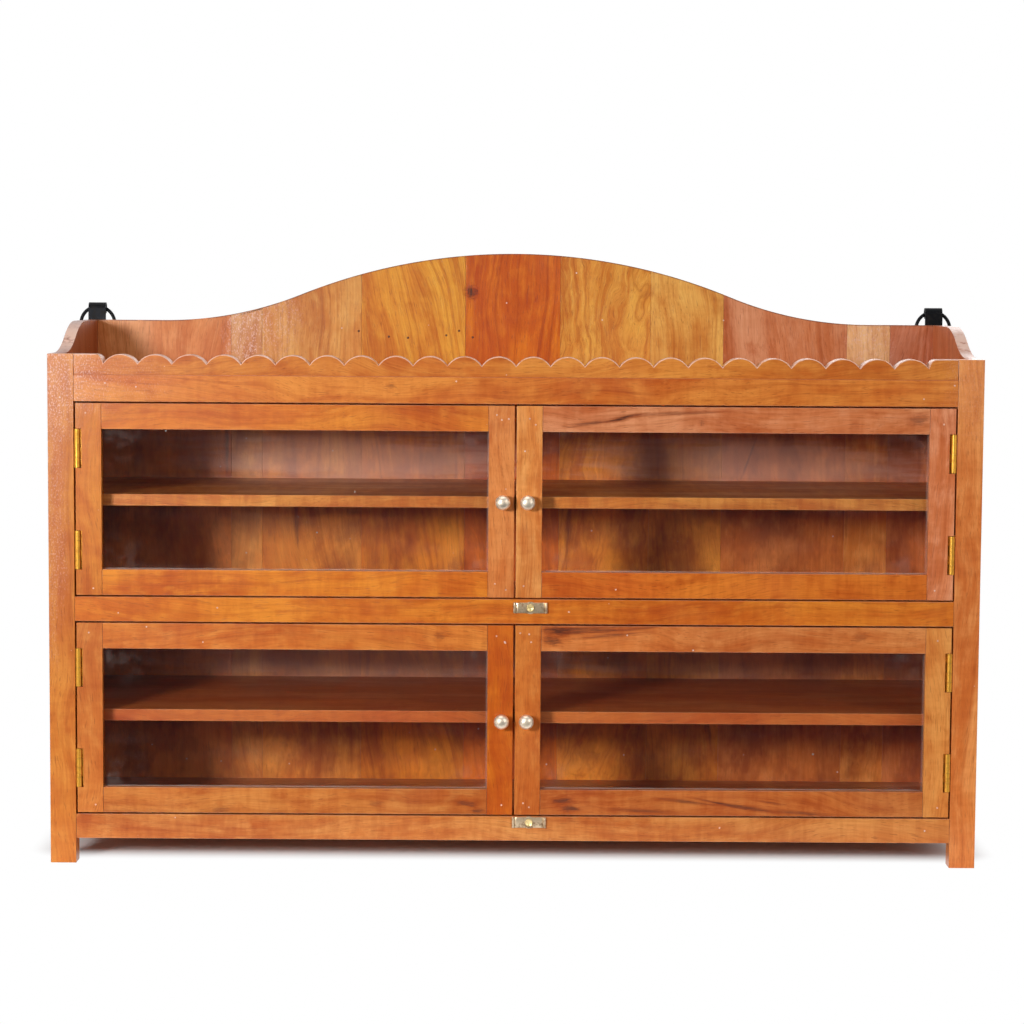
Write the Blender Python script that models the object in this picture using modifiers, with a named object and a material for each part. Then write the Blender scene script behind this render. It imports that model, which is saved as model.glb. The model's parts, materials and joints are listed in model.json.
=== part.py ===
import math

import bmesh
import bpy
from mathutils import Matrix, Vector

# Wall cabinet in metres: X to the right, Y from the front into the cabinet, Z up.
# The origin is on the standing plane, under the middle of the whole piece.

# Clearance between pieces that touch
FIT = 0.0003

# Case
CASE_WIDTH = 0.940
CASE_DEPTH = 0.2725
POST_WIDTH = 0.026
FRAME_DEPTH = 0.021
FOOT_HEIGHT = 0.0255
RAIL_HEIGHT = 0.025
OPENING_HEIGHT = 0.197
TOP_RAIL_HEIGHT = 0.0265
SIDE_THICKNESS = 0.012
BACK_THICKNESS = 0.012
BOARD_THICKNESS = 0.012
SHELF_THICKNESS = 0.012
FLOOR_DROP = 0.010
UPPER_SHELF_LEVEL = 0.1025
LOWER_SHELF_LEVEL = 0.1045
SHELF_STOP_GAP = 0.0005
HOUSING_DEPTH = 0.005
TONGUE_LENGTH = 0.005
TONGUE_THICKNESS = 0.005
TONGUE_STOP = 0.010
REAR_FOOT_WIDTH = 0.045
REAR_FOOT_CURVE = 0.012
FRAME_TENON_LENGTH = 0.012
FRAME_TENON_THICKNESS = 0.007
FRAME_TENON_SHOULDER = 0.005

# Scalloped gallery on the top rail
GALLERY_HEIGHT = 0.021
GALLERY_END = 0.030
SCALLOP_COUNT = 24
SCALLOP_DEPTH = 0.0095
SCALLOP_STEPS = 8
SHOULDER_RUN = 0.0075
SHOULDER_STEPS = 4

# Curved tops of the sides and the crest of the back
SIDE_RISE = 0.0305
SIDE_CURVE_START = 0.042
SIDE_CURVE_RUN = 0.130
SIDE_CURVE_FOOT = 0.065
CREST_RISE = 0.075
CREST_RUN = 0.385
CREST_CURVE_FOOT = 0.150
OGEE_STEPS = 10

# Doors
DOOR_GAP = 0.0017
MEETING_GAP = 0.002
STILE_WIDTH = 0.026
DOOR_RAIL_HEIGHT = 0.026
LIP_DEPTH = 0.008
REBATE_WIDTH = 0.006
GLASS_THICKNESS = 0.003
DOOR_TENON_LENGTH = 0.014
DOOR_TENON_THICKNESS = 0.006
DOOR_TENON_SHOULDER = 0.004
ARRIS = 0.0004

# Butt hinges: the barrel sits in a notch in the door's stile
HINGE_LENGTH = 0.039
HINGE_SET = 0.0016
KNUCKLE_RADIUS = 0.0029
KNUCKLE_COUNT = 4
PIN_RADIUS = 0.00125
LEAF_DEPTH = 0.016
LEAF_CHAMFER = 0.00015
ROUND_STEPS = 16

# Turned knobs
KNOB_RADIUS = 0.0076
KNOB_LENGTH = 0.0165
KNOB_NECK_RADIUS = 0.0038
KNOB_ROSE_RADIUS = 0.0056
KNOB_ROSE_HEIGHT = 0.0018
KNOB_HEAD_HEIGHT = 0.0105
KNOB_INSET = 0.0115
KNOB_SPIGOT_RADIUS = 0.002
KNOB_SPIGOT_LENGTH = 0.012
KNOB_STEPS = 24

# Turn buttons that hold the right-hand doors, drawn turned aside
BUTTON_LENGTH = 0.0346
BUTTON_WIDTH = 0.0107
BUTTON_THICKNESS = 0.0014
BUTTON_CURL_RADIUS = 0.0014
BUTTON_BOSS_RADIUS = 0.0062
BUTTON_OFFSET = 0.0160
UPPER_BUTTON_DROP = 0.0085
LOWER_BUTTON_DROP = 0.0060
SCREW_HEAD_RADIUS = 0.0039
SCREW_HEAD_HEIGHT = 0.0019
SCREW_SHANK_RADIUS = 0.0017
SCREW_SHANK_LENGTH = 0.013

# Hangers: folded straps on the back, each with a loose ring
STRAP_WIDTH = 0.0192
STRAP_THICKNESS = 0.0020
STRAP_DROP = 0.058
STRAP_CORNER = 0.004
STRAP_EDGE = 0.0092
LOOP_RADIUS = 0.0062
LOOP_BORE = 0.0041
LOOP_LIFT = 0.0128
RING_RADIUS = 0.0185
RING_WIRE = 0.0020
RING_STEPS = 36
WIRE_STEPS = 10

# Finishes: colour, roughness, metallic
LACQUERED_WOOD = ((0.47, 0.16, 0.040, 1.0), 0.32, 0.0)
GOLDEN_WOOD = ((0.52, 0.22, 0.060, 1.0), 0.36, 0.0)
CLEAR_GLASS = ((0.80, 0.84, 0.82, 0.35), 0.05, 0.0)
BRASS = ((0.78, 0.50, 0.14, 1.0), 0.28, 1.0)
PEWTER = ((0.55, 0.53, 0.50, 1.0), 0.34, 1.0)
BLACK_IRON = ((0.020, 0.022, 0.026, 1.0), 0.48, 0.7)

# Levels, from the standing plane up
BOTTOM_RAIL_TOP = FOOT_HEIGHT + RAIL_HEIGHT
MIDDLE_RAIL_FOOT = BOTTOM_RAIL_TOP + OPENING_HEIGHT
MIDDLE_RAIL_TOP = MIDDLE_RAIL_FOOT + RAIL_HEIGHT
TOP_RAIL_FOOT = MIDDLE_RAIL_TOP + OPENING_HEIGHT
TOP_RAIL_TOP = TOP_RAIL_FOOT + TOP_RAIL_HEIGHT
POST_TOP = TOP_RAIL_TOP + GALLERY_HEIGHT
BACK_TOP = POST_TOP + SIDE_RISE

# Widths and depths
HALF_WIDTH = CASE_WIDTH / 2
HALF_OPENING = HALF_WIDTH - POST_WIDTH
HALF_INSIDE = HALF_WIDTH - SIDE_THICKNESS
DOOR_WIDTH = HALF_OPENING - DOOR_GAP - MEETING_GAP / 2
SCALLOP_PITCH = 2 * (HALF_OPENING - GALLERY_END) / SCALLOP_COUNT
HANGER_DEPTH = FIT + 2 * LOOP_RADIUS - LEAF_CHAMFER
FRONT = -(KNOB_LENGTH + CASE_DEPTH + HANGER_DEPTH) / 2 + KNOB_LENGTH
SIDE_FRONT = FRAME_DEPTH + FIT
SIDE_REAR = CASE_DEPTH - BACK_THICKNESS - FIT
BOARD_REAR = SIDE_REAR
PAST = 0.002

# Hinge section, from the door's edge into the door and from the front face inwards
LEAF_THICKNESS = DOOR_GAP - 2 * FIT
AXIS_IN = KNUCKLE_RADIUS - DOOR_GAP + FIT
DOOR_LEAF_IN = AXIS_IN + KNUCKLE_RADIUS + FIT
NOTCH_WIDTH = DOOR_LEAF_IN + LEAF_THICKNESS + FIT
LEAF_REAR = HINGE_SET + LEAF_DEPTH
LEAF_FRONT = HINGE_SET + KNUCKLE_RADIUS + FIT

parts = bpy.data.collections.new("wall_cabinet")
cutters = bpy.data.collections.new("wall_cabinet_cutters")


def clear_scene():
    for old in list(bpy.data.objects):
        bpy.data.objects.remove(old, do_unlink=True)
    for group in (parts, cutters):
        bpy.context.scene.collection.children.link(group)


def finish(name, look):
    colour, roughness, metallic = look
    material = bpy.data.materials.new(name + "_finish")
    material.use_nodes = True
    shader = material.node_tree.nodes["Principled BSDF"]
    shader.inputs["Base Color"].default_value = colour[:3] + (1.0,)
    shader.inputs["Roughness"].default_value = roughness
    shader.inputs["Metallic"].default_value = metallic
    shader.inputs["Alpha"].default_value = colour[3]
    return material


def add_box(bm, low, high, arris_along=None):
    # A box between two corners; the edges along one axis can be eased by the arris.
    low = Vector(low)
    high = Vector(high)
    place = Matrix.Translation((low + high) / 2) @ Matrix.Diagonal((*(high - low), 1.0))
    made = bmesh.ops.create_cube(bm, size=1.0, matrix=place)
    if arris_along is None:
        return
    corners = set(made["verts"])
    along = []
    for edge in bm.edges:
        if edge.verts[0] in corners and edge.verts[1] in corners:
            run = edge.verts[1].co - edge.verts[0].co
            if abs(run.normalized()[arris_along]) > 0.9:
                along.append(edge)
    bmesh.ops.bevel(bm, geom=along, offset=ARRIS, offset_type="OFFSET", segments=2, profile=0.5,
                    affect="EDGES", clamp_overlap=True)


def add_cylinder(bm, centre, radius, length, axis, steps=ROUND_STEPS):
    turn = {"X": Matrix.Rotation(math.pi / 2, 4, "Y"),
            "Y": Matrix.Rotation(math.pi / 2, 4, "X"),
            "Z": Matrix.Identity(4)}[axis]
    bmesh.ops.create_cone(bm, cap_ends=True, segments=steps, radius1=radius, radius2=radius,
                          depth=length, matrix=Matrix.Translation(centre) @ turn)


def mesh_object(name, bm, collection, pivot=None):
    # With a pivot (an empty), the mesh is stored about it and hangs on it.
    if pivot is not None:
        bmesh.ops.translate(bm, verts=bm.verts, vec=-pivot.location)
    bmesh.ops.recalc_face_normals(bm, faces=bm.faces)
    mesh = bpy.data.meshes.new(name)
    bm.to_mesh(mesh)
    bm.free()
    made = bpy.data.objects.new(name, mesh)
    collection.objects.link(made)
    made.parent = pivot
    return made


def piece(name, bm, look, pivot=None):
    made = mesh_object(name, bm, parts, pivot)
    made.data.materials.append(finish(name, look))
    return made


def combine(target, bm, operation, pivot=None):
    # Cuts a shape out of a piece, or joins one to it.
    tool = mesh_object(target.name + "_" + operation.lower(), bm, cutters, pivot)
    tool.hide_render = True
    tool.display_type = "WIRE"
    modifier = target.modifiers.new(operation.title(), "BOOLEAN")
    modifier.operation = operation
    modifier.solver = "EXACT"
    modifier.use_self = operation == "UNION"
    modifier.object = tool


def shade_round(made, angle=math.radians(40)):
    made.data.shade_smooth()
    made.data.set_sharp_from_angle(angle=angle)


def pivot_at(name, location):
    empty = bpy.data.objects.new(name, None)
    empty.empty_display_size = 0.02
    empty.location = location
    parts.objects.link(empty)
    return empty


def flat_board(outline, thickness, place):
    # A flat outline, filled and extruded both ways, set by a matrix; returned as a welded bmesh.
    curve = bpy.data.curves.new("outline", "CURVE")
    curve.dimensions = "2D"
    curve.fill_mode = "BOTH"
    curve.extrude = thickness / 2
    spline = curve.splines.new("POLY")
    spline.points.add(len(outline) - 1)
    for point, (across, up) in zip(spline.points, outline):
        point.co = (across, up, 0.0, 1.0)
    spline.use_cyclic_u = True
    shape = bpy.data.objects.new("outline", curve)
    cutters.objects.link(shape)
    graph = bpy.context.evaluated_depsgraph_get()
    mesh = bpy.data.meshes.new_from_object(shape.evaluated_get(graph))
    bpy.data.objects.remove(shape, do_unlink=True)
    bm = bmesh.new()
    bm.from_mesh(mesh)
    bmesh.ops.remove_doubles(bm, verts=bm.verts, dist=1e-6)
    bmesh.ops.transform(bm, matrix=place, verts=bm.verts)
    bpy.data.meshes.remove(mesh)
    return bm


def facing_front(depth):
    # Outline drawn in X and Z, with the middle of its thickness at a depth behind the front face.
    return Matrix.Translation((0.0, FRONT + depth, 0.0)) @ Matrix.Rotation(math.pi / 2, 4, "X")


def facing_side(across):
    # Outline drawn in depth and Z, with the middle of its thickness at an X.
    turned = Matrix(((0, 0, 1, across), (1, 0, 0, FRONT), (0, 1, 0, 0), (0, 0, 0, 1)))
    return turned


def ogee(start, end, foot_run):
    # Two tangent arcs from one level to a higher one: hollow for foot_run, then round.
    run = end[0] - start[0]
    rise = end[1] - start[1]
    turn = 2 * math.atan2(rise, abs(run))
    radii = abs(run) / math.sin(turn)
    hollow = radii * foot_run / abs(run)
    crown = radii - hollow
    way = math.copysign(1.0, run)
    points = []
    for step in range(OGEE_STEPS + 1):
        angle = turn * step / OGEE_STEPS
        points.append((start[0] + way * hollow * math.sin(angle), start[1] + hollow * (1 - math.cos(angle))))
    for step in range(OGEE_STEPS - 1, -1, -1):
        angle = turn * step / OGEE_STEPS
        points.append((end[0] - way * crown * math.sin(angle), end[1] - crown * (1 - math.cos(angle))))
    return points


def front_box(bm, x_span, depth_span, z_span, arris_along=None):
    add_box(bm, (min(x_span), FRONT + depth_span[0], z_span[0]),
            (max(x_span), FRONT + depth_span[1], z_span[1]), arris_along)


def tenon_depths(thickness):
    middle = FRAME_DEPTH / 2
    return (middle - thickness / 2, middle + thickness / 2)


def grown(span, by):
    return (span[0] - by, span[1] + by)


# Posts, rails and gallery of the front frame

def rail_levels():
    return {"bottom_rail": (FOOT_HEIGHT, BOTTOM_RAIL_TOP),
            "middle_rail": (MIDDLE_RAIL_FOOT, MIDDLE_RAIL_TOP),
            "top_rail": (TOP_RAIL_FOOT, TOP_RAIL_TOP)}


def make_posts():
    for name, way in (("left_post", -1), ("right_post", 1)):
        bm = bmesh.new()
        front_box(bm, (way * HALF_OPENING, way * HALF_WIDTH), (0.0, FRAME_DEPTH), (0.0, POST_TOP), arris_along=2)
        post = piece(name, bm, LACQUERED_WOOD)
        holes = bmesh.new()
        for level in rail_levels().values():
            tenon = grown(level, -FRAME_TENON_SHOULDER + FIT)
            front_box(holes, (way * (HALF_OPENING - PAST), way * (HALF_OPENING + FRAME_TENON_LENGTH + FIT)),
                      grown(tenon_depths(FRAME_TENON_THICKNESS), FIT), tenon)
        combine(post, holes, "DIFFERENCE")
        groove = bmesh.new()
        middle = way * (HALF_WIDTH - SIDE_THICKNESS / 2)
        half = TONGUE_THICKNESS / 2 + FIT
        front_box(groove, (middle - half, middle + half), (SIDE_FRONT - TONGUE_LENGTH - FIT, FRAME_DEPTH + PAST),
                  (FOOT_HEIGHT, POST_TOP - TONGUE_STOP + FIT))
        combine(post, groove, "DIFFERENCE")


def make_rails():
    for name, level in rail_levels().items():
        bm = bmesh.new()
        end = HALF_OPENING - FIT
        front_box(bm, (-end, end), (0.0, FRAME_DEPTH), level, arris_along=0)
        rail = piece(name, bm, LACQUERED_WOOD)
        tenon = bmesh.new()
        reach = HALF_OPENING + FRAME_TENON_LENGTH
        front_box(tenon, (-reach, reach), tenon_depths(FRAME_TENON_THICKNESS), grown(level, -FRAME_TENON_SHOULDER))
        combine(rail, tenon, "UNION")
        button = button_places().get(name)
        if button is not None:
            hole = bmesh.new()
            across, up = button
            depth = SCREW_SHANK_LENGTH + FIT
            add_cylinder(hole, (across, FRONT + (depth - PAST) / 2, up), SCREW_SHANK_RADIUS + FIT, depth + PAST, "Y")
            combine(rail, hole, "DIFFERENCE")


def scalloped_edge():
    # From the right-hand end of the gallery to the left, along its upper edge.
    half_chord = SCALLOP_PITCH / 2
    radius = (half_chord ** 2 + SCALLOP_DEPTH ** 2) / (2 * SCALLOP_DEPTH)
    spread = math.asin(half_chord / radius)
    last_cusp = SCALLOP_COUNT * half_chord
    low = POST_TOP - SCALLOP_DEPTH
    shoulder = []
    for step in range(SHOULDER_STEPS):
        angle = math.pi / 2 * step / SHOULDER_STEPS
        shoulder.append((last_cusp + SHOULDER_RUN * (1 - math.sin(angle)), low + SCALLOP_DEPTH * math.cos(angle)))
    edge = list(shoulder)
    for scallop in range(SCALLOP_COUNT):
        middle = last_cusp - SCALLOP_PITCH * (scallop + 0.5)
        for step in range(SCALLOP_STEPS):
            angle = spread * (1 - 2 * step / SCALLOP_STEPS)
            edge.append((middle + radius * math.sin(angle), POST_TOP - radius * (1 - math.cos(angle))))
    edge.append((-last_cusp, low))
    edge.extend((-across, up) for across, up in reversed(shoulder))
    return edge


def make_gallery():
    end = HALF_OPENING - FIT
    foot = TOP_RAIL_TOP + FIT
    outline = [(-end, POST_TOP), (-end, foot), (end, foot), (end, POST_TOP)] + scalloped_edge()
    bm = flat_board(outline, FRAME_DEPTH, facing_front(FRAME_DEPTH / 2))
    piece("scalloped_gallery", bm, LACQUERED_WOOD)


# Sides, back and the boards between them

def floor_levels():
    return {"bottom_board": BOTTOM_RAIL_TOP - FLOOR_DROP,
            "middle_board": MIDDLE_RAIL_TOP - FLOOR_DROP,
            "top_board": TOP_RAIL_TOP - FLOOR_DROP}


def shelf_levels():
    return {"lower_shelf": BOTTOM_RAIL_TOP + LOWER_SHELF_LEVEL,
            "upper_shelf": MIDDLE_RAIL_TOP + UPPER_SHELF_LEVEL}


def board_spans():
    # Each board's front edge, behind the front face, and its lower and upper level.
    spans = {}
    for name, top in floor_levels().items():
        spans[name] = (SIDE_FRONT, (top - BOARD_THICKNESS, top))
    for name, top in shelf_levels().items():
        spans[name] = (FRAME_DEPTH + SHELF_STOP_GAP, (top - SHELF_THICKNESS, top))
    return spans


def make_boards():
    reach = HALF_INSIDE + HOUSING_DEPTH
    for name, (front, level) in board_spans().items():
        bm = bmesh.new()
        front_box(bm, (-reach, reach), (front, BOARD_REAR), level)
        piece(name, bm, GOLDEN_WOOD)


def side_outline():
    foot_front = SIDE_REAR - REAR_FOOT_WIDTH
    curve_end = (SIDE_CURVE_START + SIDE_CURVE_RUN, BACK_TOP)
    foot = []
    for step in range(OGEE_STEPS + 1):
        angle = math.pi / 2 * step / OGEE_STEPS
        foot.append((foot_front - REAR_FOOT_CURVE * (1 - math.sin(angle)),
                     FOOT_HEIGHT - REAR_FOOT_CURVE * (1 - math.cos(angle))))
    outline = [(SIDE_FRONT, POST_TOP), (SIDE_FRONT, FOOT_HEIGHT)] + foot
    outline += [(foot_front, 0.0), (SIDE_REAR, 0.0), (SIDE_REAR, BACK_TOP)]
    rise = ogee((SIDE_CURVE_START, POST_TOP), curve_end, SIDE_CURVE_FOOT)
    return outline + list(reversed(rise))


def make_sides():
    for name, way in (("left_side", -1), ("right_side", 1)):
        middle = way * (HALF_WIDTH - SIDE_THICKNESS / 2)
        bm = flat_board(side_outline(), SIDE_THICKNESS, facing_side(middle))
        side = piece(name, bm, LACQUERED_WOOD)
        tongue = bmesh.new()
        half = TONGUE_THICKNESS / 2
        front_box(tongue, (middle - half, middle + half), (SIDE_FRONT - TONGUE_LENGTH, SIDE_FRONT + TONGUE_LENGTH),
                  (FOOT_HEIGHT + FIT, POST_TOP - TONGUE_STOP))
        combine(side, tongue, "UNION")
        grooves = bmesh.new()
        for front, level in board_spans().values():
            front_box(grooves, (way * (HALF_INSIDE - PAST), way * (HALF_INSIDE + HOUSING_DEPTH + FIT)),
                      (front - FIT, SIDE_REAR + PAST), grown(level, FIT))
        combine(side, grooves, "DIFFERENCE")


def make_back():
    crest = ogee((-CREST_RUN, BACK_TOP), (0.0, BACK_TOP + CREST_RISE), CREST_CURVE_FOOT)
    mirrored = [(-across, up) for across, up in crest[:-1]]
    outline = [(-HALF_WIDTH, BACK_TOP), (-HALF_WIDTH, FOOT_HEIGHT), (HALF_WIDTH, FOOT_HEIGHT), (HALF_WIDTH, BACK_TOP)]
    outline += mirrored + list(reversed(crest))
    bm = flat_board(outline, BACK_THICKNESS, facing_front(CASE_DEPTH - BACK_THICKNESS / 2))
    piece("back_panel", bm, GOLDEN_WOOD)


# Butt hinges

def knuckle_span(index):
    pitch = HINGE_LENGTH / KNUCKLE_COUNT
    return (-HINGE_LENGTH / 2 + pitch * index + FIT / 2, -HINGE_LENGTH / 2 + pitch * (index + 1) - FIT / 2)


def hinge_half(name, way, own, leaf_in, tab_in, tab_depths, leaf_front):
    # One leaf about the hinge axis, with its own knuckles; way is +1 where the door lies towards +X.
    def section(bm, in_span, depth_span, z_span):
        x_span = [way * (value - AXIS_IN) for value in in_span]
        add_box(bm, (min(x_span), depth_span[0] - HINGE_SET, z_span[0]),
                (max(x_span), depth_span[1] - HINGE_SET, z_span[1]))

    bm = bmesh.new()
    half = HINGE_LENGTH / 2 - FIT
    section(bm, leaf_in, (leaf_front, LEAF_REAR), (-half, half))
    leaf = mesh_object(name, bm, cutters)
    knuckles = bmesh.new()
    for index in range(KNUCKLE_COUNT):
        if index % 2 == own:
            low, high = knuckle_span(index)
            add_cylinder(knuckles, (0.0, 0.0, (low + high) / 2), KNUCKLE_RADIUS, high - low, "Z")
            section(knuckles, tab_in, tab_depths, grown((low, high), -LEAF_CHAMFER))
    if own == 0:
        add_cylinder(knuckles, (0.0, 0.0, 0.0), PIN_RADIUS, HINGE_LENGTH - FIT, "Z")
    combine(leaf, knuckles, "UNION")
    if own == 1:
        bore = bmesh.new()
        add_cylinder(bore, (0.0, 0.0, 0.0), PIN_RADIUS + FIT, HINGE_LENGTH + PAST, "Z")
        combine(leaf, bore, "DIFFERENCE")
    graph = bpy.context.evaluated_depsgraph_get()
    mesh = bpy.data.meshes.new_from_object(leaf.evaluated_get(graph))
    bpy.data.objects.remove(leaf, do_unlink=True)
    return mesh


def frame_leaf(way):
    inner = -FIT
    outer = -DOOR_GAP + FIT
    return hinge_half("frame_leaf", way, 0, (outer, inner), (outer + LEAF_CHAMFER, inner - LEAF_CHAMFER),
                      (HINGE_SET, LEAF_FRONT + LEAF_THICKNESS), LEAF_FRONT)


def door_leaf(way):
    outer = DOOR_LEAF_IN + LEAF_THICKNESS
    tab_front = HINGE_SET + PIN_RADIUS + FIT
    tab_rear = HINGE_SET + KNUCKLE_RADIUS - LEAF_CHAMFER
    return hinge_half("door_leaf", way, 1, (DOOR_LEAF_IN, outer), (AXIS_IN, outer - LEAF_CHAMFER),
                      (tab_front, tab_rear), tab_front + LEAF_CHAMFER)


def hinge_middles(door_level):
    # The two hinges end level with the inner edges of the door's rails.
    low = door_level[0] + DOOR_RAIL_HEIGHT + HINGE_LENGTH / 2
    high = door_level[1] - DOOR_RAIL_HEIGHT - HINGE_LENGTH / 2
    return {"bottom_hinge": low, "top_hinge": high}


def place_leaf(name, mesh, location, pivot=None):
    made = bpy.data.objects.new(name, mesh.copy())
    parts.objects.link(made)
    made.data.materials.append(finish(name, BRASS))
    shade_round(made)
    made.parent = pivot
    made.location = location if pivot is None else Vector(location) - pivot.location


# Doors

def door_levels():
    lower = grown((BOTTOM_RAIL_TOP, MIDDLE_RAIL_FOOT), -DOOR_GAP)
    upper = grown((MIDDLE_RAIL_TOP, TOP_RAIL_FOOT), -DOOR_GAP)
    return {"lower": lower, "upper": upper}


def door_rail_levels(level):
    # Each rail's level, its rebate's level and its tenon's level.
    low, high = level
    bottom_in = low + DOOR_RAIL_HEIGHT
    top_in = high - DOOR_RAIL_HEIGHT
    tenon_height = DOOR_RAIL_HEIGHT - REBATE_WIDTH - 2 * DOOR_TENON_SHOULDER
    return {"bottom_rail": ((low, bottom_in), (bottom_in - REBATE_WIDTH, bottom_in + PAST),
                            (low + DOOR_TENON_SHOULDER, low + DOOR_TENON_SHOULDER + tenon_height)),
            "top_rail": ((top_in, high), (top_in - PAST, top_in + REBATE_WIDTH),
                         (high - DOOR_TENON_SHOULDER - tenon_height, high - DOOR_TENON_SHOULDER))}


def door_across(way, inward):
    # X of a distance from the door's hinged edge into the door; way is +1 on the left-hand doors.
    return -way * (HALF_OPENING - DOOR_GAP - inward)


def door_box(bm, way, in_span, depth_span, z_span, arris_along=None):
    front_box(bm, [door_across(way, value) for value in in_span], depth_span, z_span, arris_along)


def make_stile(name, way, level, in_span, inner, pivot):
    # inner is the edge that faces the glass, and step points from it into the stile.
    step = 1 if inner == in_span[0] else -1
    bm = bmesh.new()
    door_box(bm, way, in_span, (0.0, FRAME_DEPTH), level, arris_along=2)
    stile = piece(name, bm, LACQUERED_WOOD, pivot)
    cuts = bmesh.new()
    rails = door_rail_levels(level)
    door_box(cuts, way, (inner - step * PAST, inner + step * REBATE_WIDTH), (LIP_DEPTH, FRAME_DEPTH + PAST),
             (rails["bottom_rail"][0][1] - REBATE_WIDTH, rails["top_rail"][0][0] + REBATE_WIDTH))
    for _, _, tenon in rails.values():
        door_box(cuts, way, (inner - step * PAST, inner + step * (DOOR_TENON_LENGTH + FIT)),
                 grown(tenon_depths(DOOR_TENON_THICKNESS), FIT), grown(tenon, FIT))
    combine(stile, cuts, "DIFFERENCE", pivot)
    return stile


def make_door_frame(prefix, way, level, pivot):
    hinge_stile = make_stile(prefix + "_hinge_stile", way, level, (0.0, STILE_WIDTH), STILE_WIDTH, pivot)
    notches = bmesh.new()
    for middle in hinge_middles(level).values():
        half = HINGE_LENGTH / 2 + FIT
        door_box(notches, way, (-PAST, NOTCH_WIDTH), (-PAST, LEAF_REAR + FIT), (middle - half, middle + half))
    combine(hinge_stile, notches, "DIFFERENCE", pivot)

    meeting = (DOOR_WIDTH - STILE_WIDTH, DOOR_WIDTH)
    meeting_stile = make_stile(prefix + "_meeting_stile", way, level, meeting, meeting[0], pivot)
    hole = bmesh.new()
    add_cylinder(hole, (door_across(way, DOOR_WIDTH - KNOB_INSET), FRONT + (KNOB_SPIGOT_LENGTH + FIT - PAST) / 2,
                        sum(level) / 2), KNOB_SPIGOT_RADIUS + FIT, KNOB_SPIGOT_LENGTH + FIT + PAST, "Y")
    combine(meeting_stile, hole, "DIFFERENCE", pivot)

    shoulder = (STILE_WIDTH + FIT, DOOR_WIDTH - STILE_WIDTH - FIT)
    reach = (STILE_WIDTH - DOOR_TENON_LENGTH, DOOR_WIDTH - STILE_WIDTH + DOOR_TENON_LENGTH)
    for rail_name, (rail_level, rebate, tenon) in door_rail_levels(level).items():
        bm = bmesh.new()
        door_box(bm, way, shoulder, (0.0, FRAME_DEPTH), rail_level, arris_along=0)
        rail = piece(prefix + "_door_" + rail_name, bm, LACQUERED_WOOD, pivot)
        bar = bmesh.new()
        door_box(bar, way, reach, tenon_depths(DOOR_TENON_THICKNESS), tenon)
        combine(rail, bar, "UNION", pivot)
        cut = bmesh.new()
        door_box(cut, way, grown(shoulder, PAST), (LIP_DEPTH, FRAME_DEPTH + PAST), rebate)
        combine(rail, cut, "DIFFERENCE", pivot)


def make_glass(prefix, way, level, pivot):
    bm = bmesh.new()
    edge = REBATE_WIDTH - FIT
    door_box(bm, way, grown((STILE_WIDTH, DOOR_WIDTH - STILE_WIDTH), edge),
             (LIP_DEPTH + FIT, LIP_DEPTH + FIT + GLASS_THICKNESS),
             grown((level[0] + DOOR_RAIL_HEIGHT, level[1] - DOOR_RAIL_HEIGHT), edge))
    piece(prefix + "_glass", bm, CLEAR_GLASS, pivot)


def knob_profile():
    # Radius and height above the door's face, from the top of the head down to the spigot's end.
    head = KNOB_HEAD_HEIGHT
    points = [(0.0, KNOB_LENGTH)]
    for step in range(1, 8):
        angle = math.pi / 2 * step / 7
        points.append((KNOB_RADIUS * math.sin(angle) ** 0.8, KNOB_LENGTH - head * 0.62 * (1 - math.cos(angle))))
    under = KNOB_LENGTH - head * 0.62
    for step in range(1, 5):
        angle = math.pi / 2 * step / 4
        points.append((KNOB_NECK_RADIUS + (KNOB_RADIUS - KNOB_NECK_RADIUS) * math.cos(angle),
                       under - head * 0.38 * math.sin(angle)))
    points.append((KNOB_NECK_RADIUS, FIT + KNOB_ROSE_HEIGHT * 1.5))
    points.append((KNOB_ROSE_RADIUS, FIT + KNOB_ROSE_HEIGHT))
    points.append((KNOB_ROSE_RADIUS, FIT))
    points.append((KNOB_SPIGOT_RADIUS, FIT))
    points.append((KNOB_SPIGOT_RADIUS, -KNOB_SPIGOT_LENGTH))
    points.append((0.0, -KNOB_SPIGOT_LENGTH))
    return points


def make_knob(prefix, way, level, pivot):
    profile = bmesh.new()
    last = None
    for radius, height in knob_profile():
        point = profile.verts.new((radius, 0.0, height))
        if last is not None:
            profile.edges.new((last, point))
        last = point
    mesh = bpy.data.meshes.new(prefix + "_knob")
    profile.to_mesh(mesh)
    profile.free()
    knob = bpy.data.objects.new(prefix + "_knob", mesh)
    parts.objects.link(knob)
    mesh.materials.append(finish(knob.name, PEWTER))
    screw = knob.modifiers.new("Turned", "SCREW")
    screw.steps = KNOB_STEPS
    screw.render_steps = KNOB_STEPS
    screw.use_merge_vertices = True
    screw.merge_threshold = 0.00001
    screw.use_smooth_shade = True
    knob.parent = pivot
    knob.rotation_euler = (math.pi / 2, 0.0, 0.0)
    knob.location = Vector((door_across(way, DOOR_WIDTH - KNOB_INSET), FRONT, sum(level) / 2)) - pivot.location


def make_doors():
    leaves = {way: (frame_leaf(way), door_leaf(way)) for way in (1, -1)}
    for height_name, level in door_levels().items():
        for side_name, way in (("left", 1), ("right", -1)):
            prefix = height_name + "_" + side_name
            axis = (door_across(way, AXIS_IN), FRONT + HINGE_SET, sum(level) / 2)
            pivot = pivot_at(prefix + "_door_axis", axis)
            make_door_frame(prefix, way, level, pivot)
            make_glass(prefix, way, level, pivot)
            make_knob(prefix, way, level, pivot)
            for hinge_name, middle in hinge_middles(level).items():
                spot = (axis[0], axis[1], middle)
                place_leaf(prefix + "_" + hinge_name + "_frame_leaf", leaves[way][0], spot)
                place_leaf(prefix + "_" + hinge_name + "_door_leaf", leaves[way][1], spot, pivot)


# Turn buttons on the rails

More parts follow.
